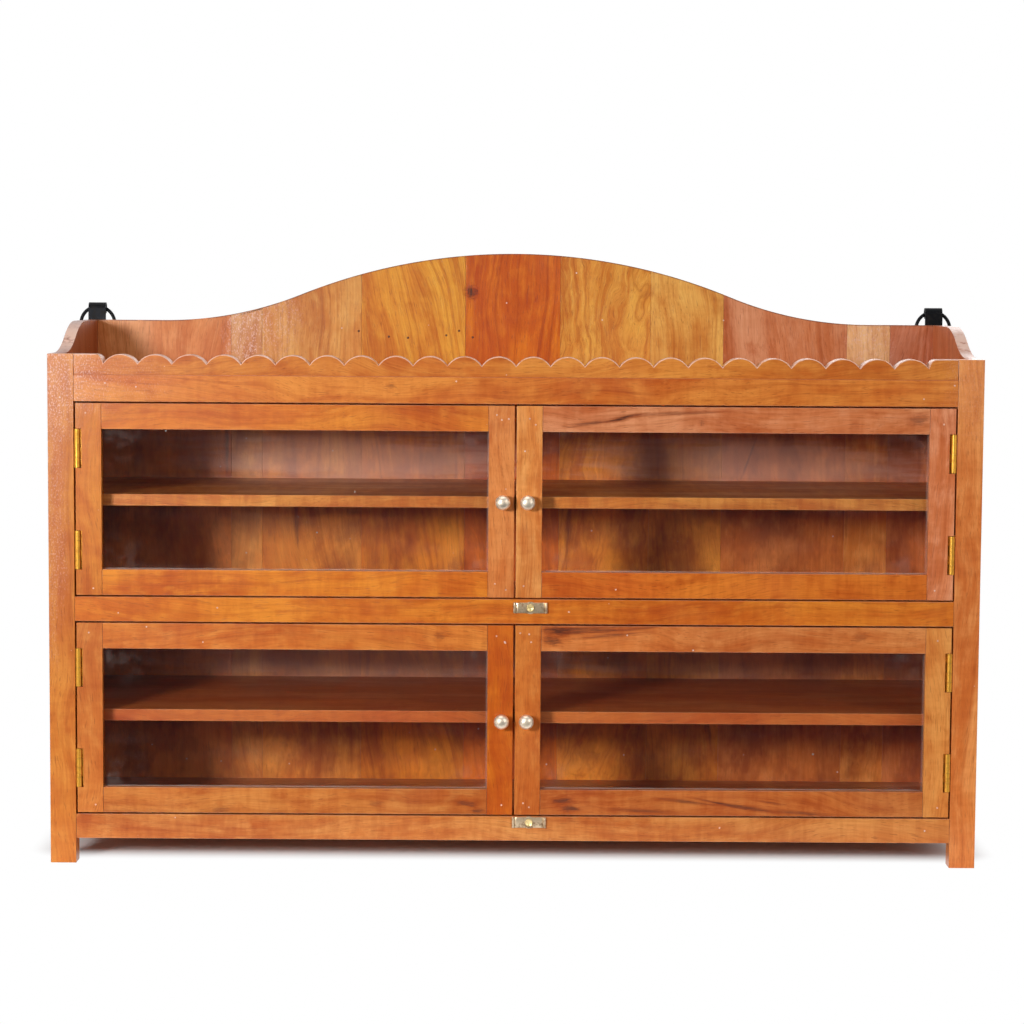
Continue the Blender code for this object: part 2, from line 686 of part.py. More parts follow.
def button_places():
    return {"middle_rail": (BUTTON_OFFSET, MIDDLE_RAIL_TOP - UPPER_BUTTON_DROP),
            "bottom_rail": (BUTTON_OFFSET, BOTTOM_RAIL_TOP - LOWER_BUTTON_DROP)}


def make_turn_buttons():
    # A flat strip with both ends curled away from the rail and a round boss under its screw's head.
    for name, rail in (("upper_turn_button", "middle_rail"), ("lower_turn_button", "bottom_rail")):
        across, up = button_places()[rail]
        pivot = pivot_at(name + "_axis", (across, FRONT, up))
        reach = BUTTON_LENGTH / 2 - BUTTON_CURL_RADIUS
        half = BUTTON_WIDTH / 2
        bm = bmesh.new()
        front_box(bm, (across - reach, across + reach), (-FIT - BUTTON_THICKNESS, -FIT), (up - half, up + half))
        strip = piece(name, bm, PEWTER, pivot)
        forms = bmesh.new()
        for end in (across - reach, across + reach):
            add_cylinder(forms, (end, FRONT - FIT - BUTTON_CURL_RADIUS, up), BUTTON_CURL_RADIUS,
                         BUTTON_WIDTH - 2 * LEAF_CHAMFER, "Z")
        add_cylinder(forms, (across, FRONT - FIT - BUTTON_THICKNESS / 2, up), BUTTON_BOSS_RADIUS,
                     BUTTON_THICKNESS - 2 * LEAF_CHAMFER, "Y", 2 * ROUND_STEPS)
        seat = FRONT - FIT - BUTTON_THICKNESS
        bmesh.ops.create_cone(forms, cap_ends=True, segments=ROUND_STEPS, radius1=SCREW_HEAD_RADIUS,
                              radius2=SCREW_HEAD_RADIUS * 0.62, depth=SCREW_HEAD_HEIGHT + FIT,
                              matrix=Matrix.Translation((across, seat - (SCREW_HEAD_HEIGHT - FIT) / 2, up))
                              @ Matrix.Rotation(math.pi / 2, 4, "X"))
        shank = SCREW_SHANK_LENGTH + FIT + BUTTON_THICKNESS
        add_cylinder(forms, (across, FRONT + SCREW_SHANK_LENGTH - shank / 2, up), SCREW_SHANK_RADIUS, shank, "Y")
        combine(strip, forms, "UNION", pivot)


# Hanger straps and rings on the back

def hanger_places():
    return {"left": -(HALF_WIDTH - STRAP_EDGE), "right": HALF_WIDTH - STRAP_EDGE}


def make_hangers():
    plate_front = CASE_DEPTH + FIT
    loop = Vector((0.0, FRONT + plate_front + LOOP_RADIUS, BACK_TOP + LOOP_LIFT))
    offset = RING_RADIUS - math.sqrt(RING_RADIUS ** 2 - (STRAP_WIDTH / 2) ** 2)
    for side_name, across in hanger_places().items():
        bm = bmesh.new()
        half = STRAP_WIDTH / 2
        front_box(bm, (across - half, across + half), (plate_front, plate_front + STRAP_THICKNESS),
                  (loop.z - STRAP_DROP, loop.z))
        foot = [edge for edge in bm.edges
                if all(vert.co.z < loop.z - STRAP_DROP / 2 for vert in edge.verts)
                and abs(edge.verts[0].co.y - edge.verts[1].co.y) > STRAP_THICKNESS / 2]
        bmesh.ops.bevel(bm, geom=foot, offset=STRAP_CORNER, segments=3, profile=0.5, affect="EDGES")
        strap = piece(side_name + "_hanger_strap", bm, BLACK_IRON)
        roll = bmesh.new()
        centre = Vector((across, loop.y, loop.z))
        add_cylinder(roll, centre, LOOP_RADIUS - LEAF_CHAMFER, STRAP_WIDTH - 2 * LEAF_CHAMFER, "X", 2 * WIRE_STEPS)
        combine(strap, roll, "UNION")
        bore = bmesh.new()
        add_cylinder(bore, centre, LOOP_BORE, STRAP_WIDTH + PAST, "X", 2 * WIRE_STEPS)
        combine(strap, bore, "DIFFERENCE")

        pivot = pivot_at(side_name + "_ring_axis", centre)
        bpy.ops.mesh.primitive_torus_add(major_radius=RING_RADIUS, minor_radius=RING_WIRE,
                                         major_segments=RING_STEPS, minor_segments=WIRE_STEPS)
        ring = bpy.context.object
        ring.name = side_name + "_ring"
        for home in list(ring.users_collection):
            home.objects.unlink(ring)
        parts.objects.link(ring)
        ring.data.materials.append(finish(ring.name, BLACK_IRON))
        shade_round(ring)
        ring.parent = pivot
        ring.rotation_euler = (math.pi / 2, 0.0, 0.0)
        ring.location = (0.0, 0.0, offset / 2 - RING_RADIUS)


clear_scene()
make_posts()
make_rails()
make_gallery()
make_boards()
make_sides()
make_back()
make_doors()
make_turn_buttons()
make_hangers()
bpy.context.view_layer.update()
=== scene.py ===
import json
import math

import bmesh
import bpy
import numpy as np
from mathutils import Matrix, Vector

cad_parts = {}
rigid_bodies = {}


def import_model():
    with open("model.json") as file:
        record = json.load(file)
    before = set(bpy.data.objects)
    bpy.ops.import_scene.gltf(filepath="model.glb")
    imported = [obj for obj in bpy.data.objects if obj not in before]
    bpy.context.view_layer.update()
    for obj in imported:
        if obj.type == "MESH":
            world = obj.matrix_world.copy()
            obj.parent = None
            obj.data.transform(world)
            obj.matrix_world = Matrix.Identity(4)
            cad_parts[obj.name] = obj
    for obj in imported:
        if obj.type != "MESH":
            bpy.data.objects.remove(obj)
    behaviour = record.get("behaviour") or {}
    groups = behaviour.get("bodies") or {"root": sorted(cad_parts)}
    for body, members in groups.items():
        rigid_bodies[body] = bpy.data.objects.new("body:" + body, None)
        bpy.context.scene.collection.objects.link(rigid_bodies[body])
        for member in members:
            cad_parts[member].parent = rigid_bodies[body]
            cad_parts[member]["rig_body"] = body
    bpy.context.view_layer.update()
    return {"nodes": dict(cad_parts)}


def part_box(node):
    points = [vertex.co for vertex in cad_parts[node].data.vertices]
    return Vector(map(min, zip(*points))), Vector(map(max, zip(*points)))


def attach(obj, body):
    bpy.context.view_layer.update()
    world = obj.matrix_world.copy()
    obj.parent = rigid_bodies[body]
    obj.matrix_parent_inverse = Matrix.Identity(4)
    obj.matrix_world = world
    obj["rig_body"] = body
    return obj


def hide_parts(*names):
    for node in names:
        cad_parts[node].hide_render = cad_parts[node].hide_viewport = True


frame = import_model()
nodeBody = {name: node["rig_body"] for name, node in frame["nodes"].items()}
rng = np.random.default_rng(41)
print("frame loaded:", len(frame["nodes"]), "nodes")

# Places that come from the frame
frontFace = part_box("left_post")[0].y
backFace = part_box("back_panel")[0].y
doorNames = ("upper_left", "upper_right", "lower_left", "lower_right")


def linear(tone):
    # sRGB 0..255 to scene linear: ((c + 0.055) / 1.055) ** 2.4, with the straight toe for dark values.
    c = np.array(tone) / 255
    return np.where(c > 0.04045, ((c + 0.055) / 1.055) ** 2.4, c / 12.92)


def rgba(tone):
    # Linear colour of an sRGB tone, with full alpha.
    return (*linear(tone), 1.0)


# Shader helpers: they work on the open tree, and a socket takes a number or the output of another node

desk = {"tree": None}


def fillSockets(node, sockets):
    # Each named socket gets its link or its number.
    for label, value in sockets.items():
        if isinstance(value, bpy.types.NodeSocket):
            node.id_data.links.new(value, node.inputs[label])
        else:
            node.inputs[label].default_value = value
    return node


def addNode(kind, sockets=None, **settings):
    # A new node with its settings, then its sockets.
    node = desk["tree"].nodes.new(kind)
    for label, value in settings.items():
        setattr(node, label, value)
    return fillSockets(node, sockets or {})


def calc(operation, a, b=0.0, clamp=False):
    # One operation on two numbers, held to 0..1 if clamped.
    return addNode("ShaderNodeMath", {0: a, 1: b}, operation=operation, use_clamp=clamp).outputs[0]


def times(a, b):
    # a * b.
    return calc("MULTIPLY", a, b)


def vectorCalc(operation, a, b):
    # One operation on two vectors, axis by axis.
    return addNode("ShaderNodeVectorMath", {0: a, 1: b}, operation=operation).outputs[0]


def lengthOf(vector):
    # Root of the sum of the squares.
    return addNode("ShaderNodeVectorMath", {0: vector}, operation="LENGTH").outputs["Value"]


def split(vector):
    # x, y and z of a vector.
    return addNode("ShaderNodeSeparateXYZ", {0: vector}).outputs


def blend(factor, a, b, mode="MIX"):
    # a + factor * (b - a), or a + factor * (a * b - a) when multiplying.
    node = addNode("ShaderNodeMix", {0: factor, 6: a, 7: b}, data_type="RGBA", blend_type=mode)
    return node.outputs[2]


def tinted(colour, tint):
    # Colour times a tint, channel by channel.
    return blend(1.0, colour, (*tint, 1), "MULTIPLY")


def remap(value, low, high, toLow=0.0, toHigh=1.0):
    # Smooth step from toLow, at low and below it, to toHigh, at high and above it.
    sockets = {"Value": value, "From Min": low, "From Max": high, "To Min": toLow, "To Max": toHigh}
    return addNode("ShaderNodeMapRange", sockets, interpolation_type="SMOOTHSTEP").outputs[0]


def fade(value, low, high):
    # Smooth step down, from one at low to nought at high.
    return remap(value, low, high, 1.0, 0.0)


def noise(vector, stretch, detail=2.0, roughness=0.5, output=0):
    # Noise over coordinates in metres, multiplied by cycles per metre on each axis.
    spread = vectorCalc("MULTIPLY", vector, stretch)
    sockets = {"Vector": spread, "Scale": 1.0, "Detail": detail, "Roughness": roughness}
    return addNode("ShaderNodeTexNoise", sockets).outputs[output]


def newGroup(name, takes, gives):
    # Opens an empty group with named sockets: what it is given, and its output node.
    tree = desk["tree"] = bpy.data.node_groups.new(name, "ShaderNodeTree")
    for label, kind in takes.items():
        tree.interface.new_socket(label, in_out="INPUT", socket_type="NodeSocket" + kind)
    for label, kind in gives.items():
        tree.interface.new_socket(label, in_out="OUTPUT", socket_type="NodeSocket" + kind)
    return addNode("NodeGroupInput").outputs, addNode("NodeGroupOutput")


def placeGroup(name, sockets):
    # A group placed in a tree with its own values.
    node = addNode("ShaderNodeGroup", node_tree=bpy.data.node_groups[name])
    return fillSockets(node, sockets).outputs


def newMaterial(name):
    # Opens a material's tree: the material and its Principled shader.
    material = bpy.data.materials.new(name)
    material.use_nodes = True
    desk["tree"] = material.node_tree
    return material, desk["tree"].nodes["Principled BSDF"]


def objectPlace():
    # Place in the frame in metres, since every piece sits at the origin.
    return addNode("ShaderNodeTexCoord").outputs["Object"]


def attribute(name, output="Vector"):
    # What the mesh stores on its points under this name.
    return addNode("ShaderNodeAttribute", attribute_name=name).outputs[output]


def bumpNormal(shader, height, strength, distance):
    # Normal leaned by the slope of height * distance, as far as strength says.
    sockets = {"Height": height, "Strength": strength, "Distance": distance}
    fillSockets(shader, {"Normal": addNode("ShaderNodeBump", sockets).outputs[0]})


def mixSurface(factor, first, second, output=None):
    # first + factor * (second - first), sent to the surface of the output node.
    mixed = addNode("ShaderNodeMixShader", {0: factor, 1: first.outputs[0], 2: second.outputs[0]})
    fillSockets(output or desk["tree"].nodes["Material Output"], {"Surface": mixed.outputs[0]})


# Effects shared by the finishes

def buildBoardFigure():
    # Rings: distance from a pith line that wanders along the grain (x), cut into uneven bands by a noise of
    # one way. Clouds, ribbons across the grain, fibres and pores are noises stretched along it or across it.
    given, out = newGroup("boardFigure",
                          {"Grain": "Vector", "Tone": "Color", "Look": "Vector", "Burl": "Float"},
                          {"Color": "Color", "Height": "Float", "Gloss": "Float"})
    grain, tone = given["Grain"], given["Tone"]
    clouding, ringing, ribboning = split(given["Look"])
    clouding = calc("MULTIPLY", clouding, 1.6, clamp=True)
    ringing = calc("MULTIPLY", ringing, 1.4, clamp=True)
    blotching, lining = times(clouding, 0.55), times(ringing, 0.70)
    middle = (0.5, 0.5, 0.5)
    drift = vectorCalc("SUBTRACT", noise(grain, (3.2, 7, 7), 2.0, 0.5, 1), middle)
    swirl = vectorCalc("SUBTRACT", noise(grain, (17, 30, 30), 2.5, 0.5, 1), middle)
    reach = addNode("ShaderNodeCombineXYZ", {"Y": given["Burl"], "Z": given["Burl"]}).outputs[0]
    lined = vectorCalc("ADD", grain, vectorCalc("MULTIPLY", drift, (0.0, 0.085, 0.05)))
    lined = vectorCalc("ADD", lined, vectorCalc("MULTIPLY", swirl, reach))
    ring = lengthOf(vectorCalc("MULTIPLY", lined, (0.0, 1.0, 1.0)))
    bandSockets = {"W": times(ring, 190.0), "Scale": 1.0, "Detail": 4.0, "Roughness": 0.62}
    bands = addNode("ShaderNodeTexNoise", bandSockets, noise_dimensions="1D").outputs[0]
    cloud = noise(lined, (4, 19, 19), 2.5, 0.5)
    gleam = noise(vectorCalc("ADD", lined, (3.1, 1.7, 0.6)), (6, 22, 22), 2.5, 0.5)
    mottle = noise(lined, (42, 75, 75), 4.0, 0.58)
    streak = noise(lined, (6, 150, 150), 4.0, 0.6)
    ribbon = noise(lined, (95, 16, 16), 3.0, 0.6)
    fibre = noise(lined, (24, 760, 760), 3.0, 0.6)
    pore = noise(lined, (70, 1200, 1200), 1.0)

    colour = tone
    dusky, golden = tinted(tone, (0.72, 0.48, 0.28)), tinted(tone, (1.14, 1.50, 2.10))
    for step, value, low, high, strength, toward in (
            (remap, cloud, 0.36, 0.70, clouding, dusky), (remap, gleam, 0.40, 0.72, clouding, golden),
            (remap, mottle, 0.46, 0.72, blotching, golden), (fade, mottle, 0.26, 0.50, blotching, dusky),
            (remap, streak, 0.50, 0.72, lining, golden), (fade, streak, 0.28, 0.50, lining, dusky)):
        colour = blend(times(step(value, low, high), strength), colour, toward)
    for step, value, low, high, strength, tint in (
            (fade, bands, 0.36, 0.52, times(ringing, 0.45), (1.10, 1.26, 1.40)),
            (remap, bands, 0.54, 0.68, times(ringing, 0.55), (0.68, 0.50, 0.36)),
            (remap, ribbon, 0.40, 0.64, ribboning, (0.84, 0.72, 0.60)),
            (remap, fibre, 0.40, 0.66, 0.7, (0.88, 0.80, 0.72))):
        laid = times(step(value, low, high), strength)
        colour = blend(laid, colour, tinted(colour, tint))
    pit = remap(pore, 0.63, 0.71)
    colour = blend(times(pit, 0.42), colour, tinted(tone, (0.34, 0.20, 0.14)))
    height = calc("SUBTRACT", times(fibre, 0.4), times(pit, 0.4))
    fillSockets(out, {"Color": colour, "Height": height, "Gloss": gleam})


def buildLacquerFilm():
    # Old lacquer: milky clouds, sparse pale specks (cells of a Voronoi pattern) and an orange-peel ripple.
    given, out = newGroup("lacquerFilm", {"Place": "Vector", "Speckle": "Float"},
                          {"Cloud": "Float", "Specks": "Float", "Ripple": "Float"})
    place = given["Place"]
    cells = addNode("ShaderNodeTexVoronoi", {"Vector": place, "Scale": 105.0})
    near = fade(cells.outputs["Distance"], 0.05, 0.12)
    chosen = addNode("ShaderNodeSeparateColor", {0: cells.outputs["Color"]}).outputs[0]
    rare = calc("GREATER_THAN", chosen, calc("SUBTRACT", 1.0, given["Speckle"]))
    fillSockets(out, {"Cloud": remap(noise(place, (13, 13, 13), 4.0, 0.6), 0.46, 0.72),
                      "Specks": times(near, rare), "Ripple": noise(place, (430, 430, 430), 2.0, 0.5)})


def buildKnotMark():
    # A mark turned in the plane of the front: distance from its centre over its reach, bent by noise, with a
    # dark core and a browned halo.
    given, out = newGroup("knotMark",
                          {"Place": "Vector", "Centre": "Vector", "Reach": "Vector", "Turn": "Float",
                           "Streak": "Vector"}, {"Core": "Float", "Halo": "Float"})
    sockets = {"Vector": given["Place"], "Center": given["Centre"], "Angle": given["Turn"]}
    turned = addNode("ShaderNodeVectorRotate", sockets, rotation_type="Y_AXIS").outputs[0]
    away = vectorCalc("DIVIDE", vectorCalc("SUBTRACT", turned, given["Centre"]), given["Reach"])
    along = vectorCalc("ADD", away, vectorCalc("MULTIPLY", given["Centre"], (60, 60, 60)))
    bend = calc("SUBTRACT", noise(along, (1.1, 1.0, 1.9), 5.0, 0.68), 0.5)
    bent = calc("ADD", lengthOf(away), times(bend, 2.0))
    fine = remap(noise(given["Place"], given["Streak"], 3.0, 0.6), 0.36, 0.58, 0.35, 1.0)
    fillSockets(out, {"Core": times(fade(bent, 0.20, 0.90), fine), "Halo": fade(bent, 0.45, 1.40)})


def buildMetalAge():
    # Tarnish in soft patches and fine scratches, both noises over the place.
    given, out = newGroup("metalAge", {"Place": "Vector"}, {"Tarnish": "Float", "Scratch": "Float"})
    patches = noise(given["Place"], (210, 210, 210), 4.0, 0.6)
    fillSockets(out, {"Tarnish": remap(patches, 0.44, 0.70),
                      "Scratch": noise(given["Place"], (900, 900, 3600), 2.0)})


def buildEdgeSmear():
    # Film left on a pane: a thin line of bedding on its lower and right sight edges, and haze in the corners.
    given, out = newGroup("edgeSmear", {"Place": "Vector", "Low": "Vector", "High": "Vector"},
                          {"Line": "Float", "Haze": "Float"})
    low = split(vectorCalc("SUBTRACT", given["Place"], given["Low"]))
    high = split(vectorCalc("SUBTRACT", given["High"], given["Place"]))
    wobble = noise(given["Place"], (60, 60, 60), 3.0)
    sill = fade(low["Z"], 0.0, remap(wobble, 0.3, 0.7, 0.0009, 0.0018))
    jamb = remap(high["X"], 0.0004, 0.0024, 0.45, 0.0)
    beside = calc("MINIMUM", low["X"], high["X"])
    above = calc("MINIMUM", low["Z"], high["Z"])
    corner = times(fade(beside, 0.0, 0.070), fade(above, 0.0, 0.050))
    cloud = remap(noise(given["Place"], (55, 55, 70), 4.0, 0.62), 0.42, 0.74)
    fillSockets(out, {"Line": calc("MAXIMUM", sill, jamb), "Haze": times(corner, cloud)})


for build in (buildBoardFigure, buildLacquerFilm, buildKnotMark, buildMetalAge, buildEdgeSmear):
    build()
print("effects ready:", ", ".join(group.name for group in bpy.data.node_groups))

# Finishes. A mark is its centre across and up, its reach across and up (mm), its turn (degrees) and its depth

frontMarks = (
    ((-125, 487), (6, 3), 0, 0.5), ((108, 456), (24, 2.6), 12, 0.9), ((76, 451), (34, 2.6), 8, 0.6),
    ((150, 461), (70, 2.4), 3, 0.5), ((187, 452), (4, 4), 0, 0.4), ((405, 456), (14, 7), 0, 0.5),
    ((44, 241), (20, 7), 2, 0.95), ((38, 231), (14, 6), -6, 0.8), ((78, 242), (48, 5), 3, 0.75),
    ((96, 236), (46, 2.4), 5, 0.6), ((120, 243), (40, 2), 5, 0.5), ((350, 236), (10, 6), 20, 0.3),
    ((-76, 235), (9, 6), 0, 0.4), ((-297, 56), (14, 5), 0, 0.45), ((-46, 63), (14, 3.4), -8, 0.8),
    ((-36, 56), (9, 3), 0, 0.7), ((50, 67), (14, 4.5), 5, 0.8), ((58, 59), (14, 4), 0, 0.8),
    ((-140, 63), (10, 4), 0, 0.35), ((172, 67), (42, 2.2), -6, 0.6), ((235, 61), (46, 2.6), -9, 0.65),
    ((205, 66), (30, 1.6), -12, 0.6), ((262, 66), (26, 1.6), -10, 0.45),
    ((130, 57), (50, 2.4), -3, 0.5), ((290, 56), (50, 2.4), -4, 0.5),
)
backMarks = (((-49, 580), (8, 9), 0, 1.0), ((258, 400), (1.6, 30), -20, 0.6),
             # The mark at -317 across, 415 up is a painted shadow edge: the dark line where the left stile's
             # shadow ends on the back.
             ((-317, 415), (3.0, 45), 0, 0.7), ((88, 440), (16, 14), 20, 0.35),
             ((-240, 330), (4, 50), 2, 0.5), ((60, 320), (5, 60), -3, 0.4),
             ((215, 110), (5, 50), 12, 0.5), ((-20, 110), (6, 60), 0, 0.4))

# Painted glare and reflections, laid as milky bloom where the lamps' reflections fall: its centre across and
# up, its reach (mm), its strength and whether it is broken into specks
frontPaintedGlare = (((-462, 500), (45, 60), 0.55, True), ((-464, 380), (12, 150), 0.30, True),
               ((-410, 490), (60, 30), 0.14, True), ((462, 500), (30, 50), 0.15, True))
backPaintedSheen = (((-295, 555), (22, 70), 0.70, True), ((-258, 566), (20, 60), 0.32, True),
              ((388, 540), (24, 60), 0.45, True), ((-185, 396), (170, 34), 0.74, False),
              ((270, 394), (160, 32), 0.66, False), ((-140, 185), (220, 42), 0.72, False),
              ((250, 185), (180, 38), 0.30, False))

frontWoodLook = {"rim": (0.80, 0.50, 0.38), "roughness": 0.36, "specular": 0.25, "coat": 0.26,
                 "coatRoughness": 0.15, "haze": 0.02, "speckle": 0.05, "wearAndSheen": 0.9, "peel": 0.20}
plankWoodLook = {"rim": (0.16, 0.045, 0.018), "roughness": 0.40, "specular": 0.25, "coat": 0.22,
                 "coatRoughness": 0.18, "haze": 0.03, "speckle": 0.06, "wearAndSheen": 0.8, "peel": 0.22}
shelfWoodLook = {"rim": (0.78, 0.46, 0.26), "roughness": 0.40, "specular": 0.25, "coat": 0.20,
                 "coatRoughness": 0.22, "haze": 0.02, "speckle": 0.02, "wearAndSheen": 0.4, "peel": 0.26}
overlay = {"halo": (0.74, 0.54, 0.42), "core": (0.075, 0.026, 0.016, 1), "milk": (0.66, 0.40, 0.30, 1),
           "glare": (0.80, 0.54, 0.47, 1), "speck": (0.82, 0.72, 0.66, 1), "markDepth": 0.010,
           "glareDepth": 0.008, "smoothGlare": 0.5, "speckCover": 0.75, "peelDepth": 0.0006}
# Painted shade and light inside the case: a redder shade, warm bounce light, and lit and shaded patches
insideShadePaint = {"top": 0.49, "edge": 0.02, "skin": (0.003, 0.009), "tint": (1.06, 0.66, 0.38),
           "warmBounce": (0.48, 0.145, 0.02, 1), "warmBounceShare": 0.32, "lit": (1.36, 1.55, 1.60),
           "shaded": (0.66, 0.52, 0.46), "patching": 0.85}


def paintInsideShade(colour, place, depth):
    # Painted shade and light on the planks inside the case, below the tray: a redder shade, warm bounce light
    # as a pull to amber, then lit and shaded patches of a slow noise, on the face towards the doors only.
    near, deep = insideShadePaint["skin"]
    inner = fade(split(place)["Y"], depth + near, depth + deep)
    below = fade(split(place)["Z"], insideShadePaint["top"] - insideShadePaint["edge"], insideShadePaint["top"])
    inside = times(inner, below)
    colour = blend(inside, colour, tinted(colour, insideShadePaint["tint"]))
    colour = blend(times(inside, insideShadePaint["warmBounceShare"]), colour, insideShadePaint["warmBounce"])
    patch = noise(place, (22, 22, 12), 4.0, 0.62)
    strength = times(inside, insideShadePaint["patching"])
    lit = times(remap(patch, 0.47, 0.60), strength)
    shaded = times(fade(patch, 0.36, 0.48), strength)
    colour = blend(lit, colour, tinted(colour, insideShadePaint["lit"]))
    return blend(shaded, colour, tinted(colour, insideShadePaint["shaded"]))


def placeMark(place, centre, reach, depth, thick, turn=0.0, streak=(0, 0, 0)):
    # A knot mark, also the shape of a painted glare patch, with millimetres across and up made metres in the
    # plane at this depth.
    sockets = {"Place": place, "Centre": (centre[0] / 1000, depth, centre[1] / 1000),
               "Reach": (reach[0] / 1000, thick, reach[1] / 1000), "Turn": math.radians(turn),
               "Streak": streak}
    return placeGroup("knotMark", sockets)


def woodFinish(name, look, marks=(), paintedGlares=(), depth=frontFace, shadeInside=False):
    # Board colour, painted shade and light inside the case if asked, then knots, milky film, painted glare,
    # specks and rubbed edges (wear, and on the front a painted highlight) laid over it, under a clear coat.
    material, shader = newMaterial(name)
    place = objectPlace()
    sockets = {"Grain": attribute("grainAt"), "Tone": attribute("boardTone", "Color"),
               "Look": attribute("boardLook"), "Burl": attribute("boardBurl", "Fac")}
    figure = placeGroup("boardFigure", sockets)
    film = placeGroup("lacquerFilm", {"Place": place, "Speckle": look["speckle"]})
    colour = figure["Color"]
    # Painted shade and light inside the case, on the planks only
    if shadeInside:
        colour = paintInsideShade(colour, place, depth)
    for centre, reach, turn, strength in marks:
        streak = (60, 60, 900) if reach[0] > reach[1] else (900, 60, 60)  # fine lines along the longer way
        knot = placeMark(place, centre, reach, depth, overlay["markDepth"], turn, streak)
        browned = tinted(colour, overlay["halo"])
        colour = blend(times(knot["Halo"], strength), colour, browned)
        colour = blend(times(knot["Core"], strength), colour, overlay["core"])
    colour = blend(times(film["Cloud"], look["haze"]), colour, overlay["milk"])
    # Painted glare: pale patches where the lamps' reflections fall, broken into specks where asked.
    glareSpeckle = remap(noise(place, (700, 700, 420), 2.0, 0.6), 0.50, 0.66, 0.12, 1.0)
    for centre, reach, strength, speckled in paintedGlares:
        glare = placeMark(place, centre, reach, depth, overlay["glareDepth"])
        cover = times(glare["Halo"], glareSpeckle if speckled else overlay["smoothGlare"])
        colour = blend(times(cover, strength), colour, overlay["glare"])
    # Rub colour on rims: wear, and on the front wood also a painted highlight on rounds and a painted
    # reflection on sloped faces.
    ragged = remap(noise(place, (90, 90, 90), 3.0), 0.24, 0.50)
    rubAndSheen = times(times(attribute("arris", "Fac"), ragged), look["wearAndSheen"])
    colour = blend(rubAndSheen, colour, (*look["rim"], 1))
    colour = blend(times(film["Specks"], overlay["speckCover"]), colour, overlay["speck"])
    low, coat = look["roughness"], look["coat"]
    fillSockets(shader, {
        "Base Color": colour, "Roughness": remap(figure["Gloss"], 0.3, 0.7, low + 0.06, low - 0.05),
        "Coat Weight": remap(film["Cloud"], 0.0, 1.0, coat, coat * 0.6),
        "Coat Roughness": look["coatRoughness"], "Specular IOR Level": look["specular"]})
    height = calc("ADD", figure["Height"], film["Ripple"])
    bumpNormal(shader, height, look["peel"], overlay["peelDepth"])
    return material


def metalFinish(name, tone, rubAndSheen, tarnish, roughness, dulling, scratch, metallic):
    # Clean and tarnished metal mixed by soft patches, which dull it; scratches roughen it.
    material, shader = newMaterial(name)
    age = placeGroup("metalAge", {"Place": objectPlace()})
    fillSockets(shader, {
        "Base Color": blend(times(age["Tarnish"], tarnish), rgba(tone), rgba(rubAndSheen)),
        "Roughness": remap(age["Tarnish"], 0.0, 1.0, roughness, roughness + dulling),
        "Metallic": metallic})
    bumpNormal(shader, age["Scratch"], scratch, 0.0002)
    return material


glassLook = {"tone": (0.97, 0.985, 0.975, 1), "ior": 1.46, "dullest": 0.015, "passed": (0.95, 0.97, 0.96, 1)}


def glassFinish():
    # Clear sheet; shadow and diffuse rays go straight through, so the shelves behind are lit.
    material, shader = newMaterial("sheetGlass")
    ripple = noise(objectPlace(), (9, 9, 14), 2.0)
    fillSockets(shader, {"Base Color": glassLook["tone"], "Transmission Weight": 1.0, "IOR": glassLook["ior"],
                         "Roughness": remap(ripple, 0.2, 0.8, 0.0, glassLook["dullest"])})
    bumpNormal(shader, ripple, 0.03, 0.001)
    through = addNode("ShaderNodeBsdfTransparent", {"Color": glassLook["passed"]})
    path = addNode("ShaderNodeLightPath").outputs
    passing = calc("MAXIMUM", path["Is Shadow Ray"], path["Is Diffuse Ray"])
    mixSurface(passing, shader, through)
    return material


filmLook = {"pale": (0.62, 0.57, 0.54, 1), "dull": (0.50, 0.44, 0.42, 1), "roughness": 0.7, "speckle": 0.010,
            "line": 0.22, "haze": 0.045, "wiped": 0.008, "specks": 0.5}


def filmFinish():
    # Bedding line, corner haze, faint wiping marks and a few pale specks added up, see-through between.
    material, shader = newMaterial("paneFilm")
    place = objectPlace()
    edges = {"Place": place, "Low": attribute("boardLow"), "High": attribute("boardHigh")}
    smear = placeGroup("edgeSmear", edges)
    film = placeGroup("lacquerFilm", {"Place": place, "Speckle": filmLook["speckle"]})
    wiped = remap(noise(place, (7, 7, 50), 3.0), 0.5, 0.8)
    veil = times(smear["Line"], filmLook["line"])
    veil = calc("ADD", veil, times(smear["Haze"], filmLook["haze"]))
    veil = calc("ADD", veil, times(wiped, filmLook["wiped"]))
    veil = calc("ADD", veil, times(film["Specks"], filmLook["specks"]), clamp=True)
    fillSockets(shader, {"Base Color": blend(film["Cloud"], filmLook["pale"], filmLook["dull"]),
                         "Alpha": veil, "Roughness": filmLook["roughness"]})
    return material


# Metals, filler and glue: clean and worn tone (sRGB), tarnish, roughness, dulling, scratch and metallic
metals = {
    "brass": ("agedBrass", (238, 174, 64), (178, 110, 34), 0.6, 0.36, 0.14, 0.10, 0.7),
    "champagne": ("champagneMetal", (250, 234, 212), (210, 188, 158), 0.5, 0.40, 0.10, 0.10, 0.9),
    "stripMetal": ("tarnishedStrip", (222, 198, 164), (126, 92, 60), 0.85, 0.30, 0.2, 0.22, 0.7),
    "screwBrass": ("paleBrass", (246, 222, 158), (210, 172, 98), 0.5, 0.34, 0.14, 0.1, 0.6),
    "iron": ("blackIron", (24, 25, 28), (46, 43, 40), 0.6, 0.5, 0.15, 0.25, 0.9),
    "nailIron": ("rustedNail", (104, 54, 28), (70, 38, 20), 0.8, 0.6, 0.2, 0.3, 0.2),
    "filler": ("paleFiller", (228, 186, 164), (176, 122, 96), 0.7, 0.5, 0.2, 0.3, 0.0),
    "glue": ("glueLine", (186, 100, 44), (150, 76, 34), 0.6, 0.5, 0.1, 0.2, 0.0),
}
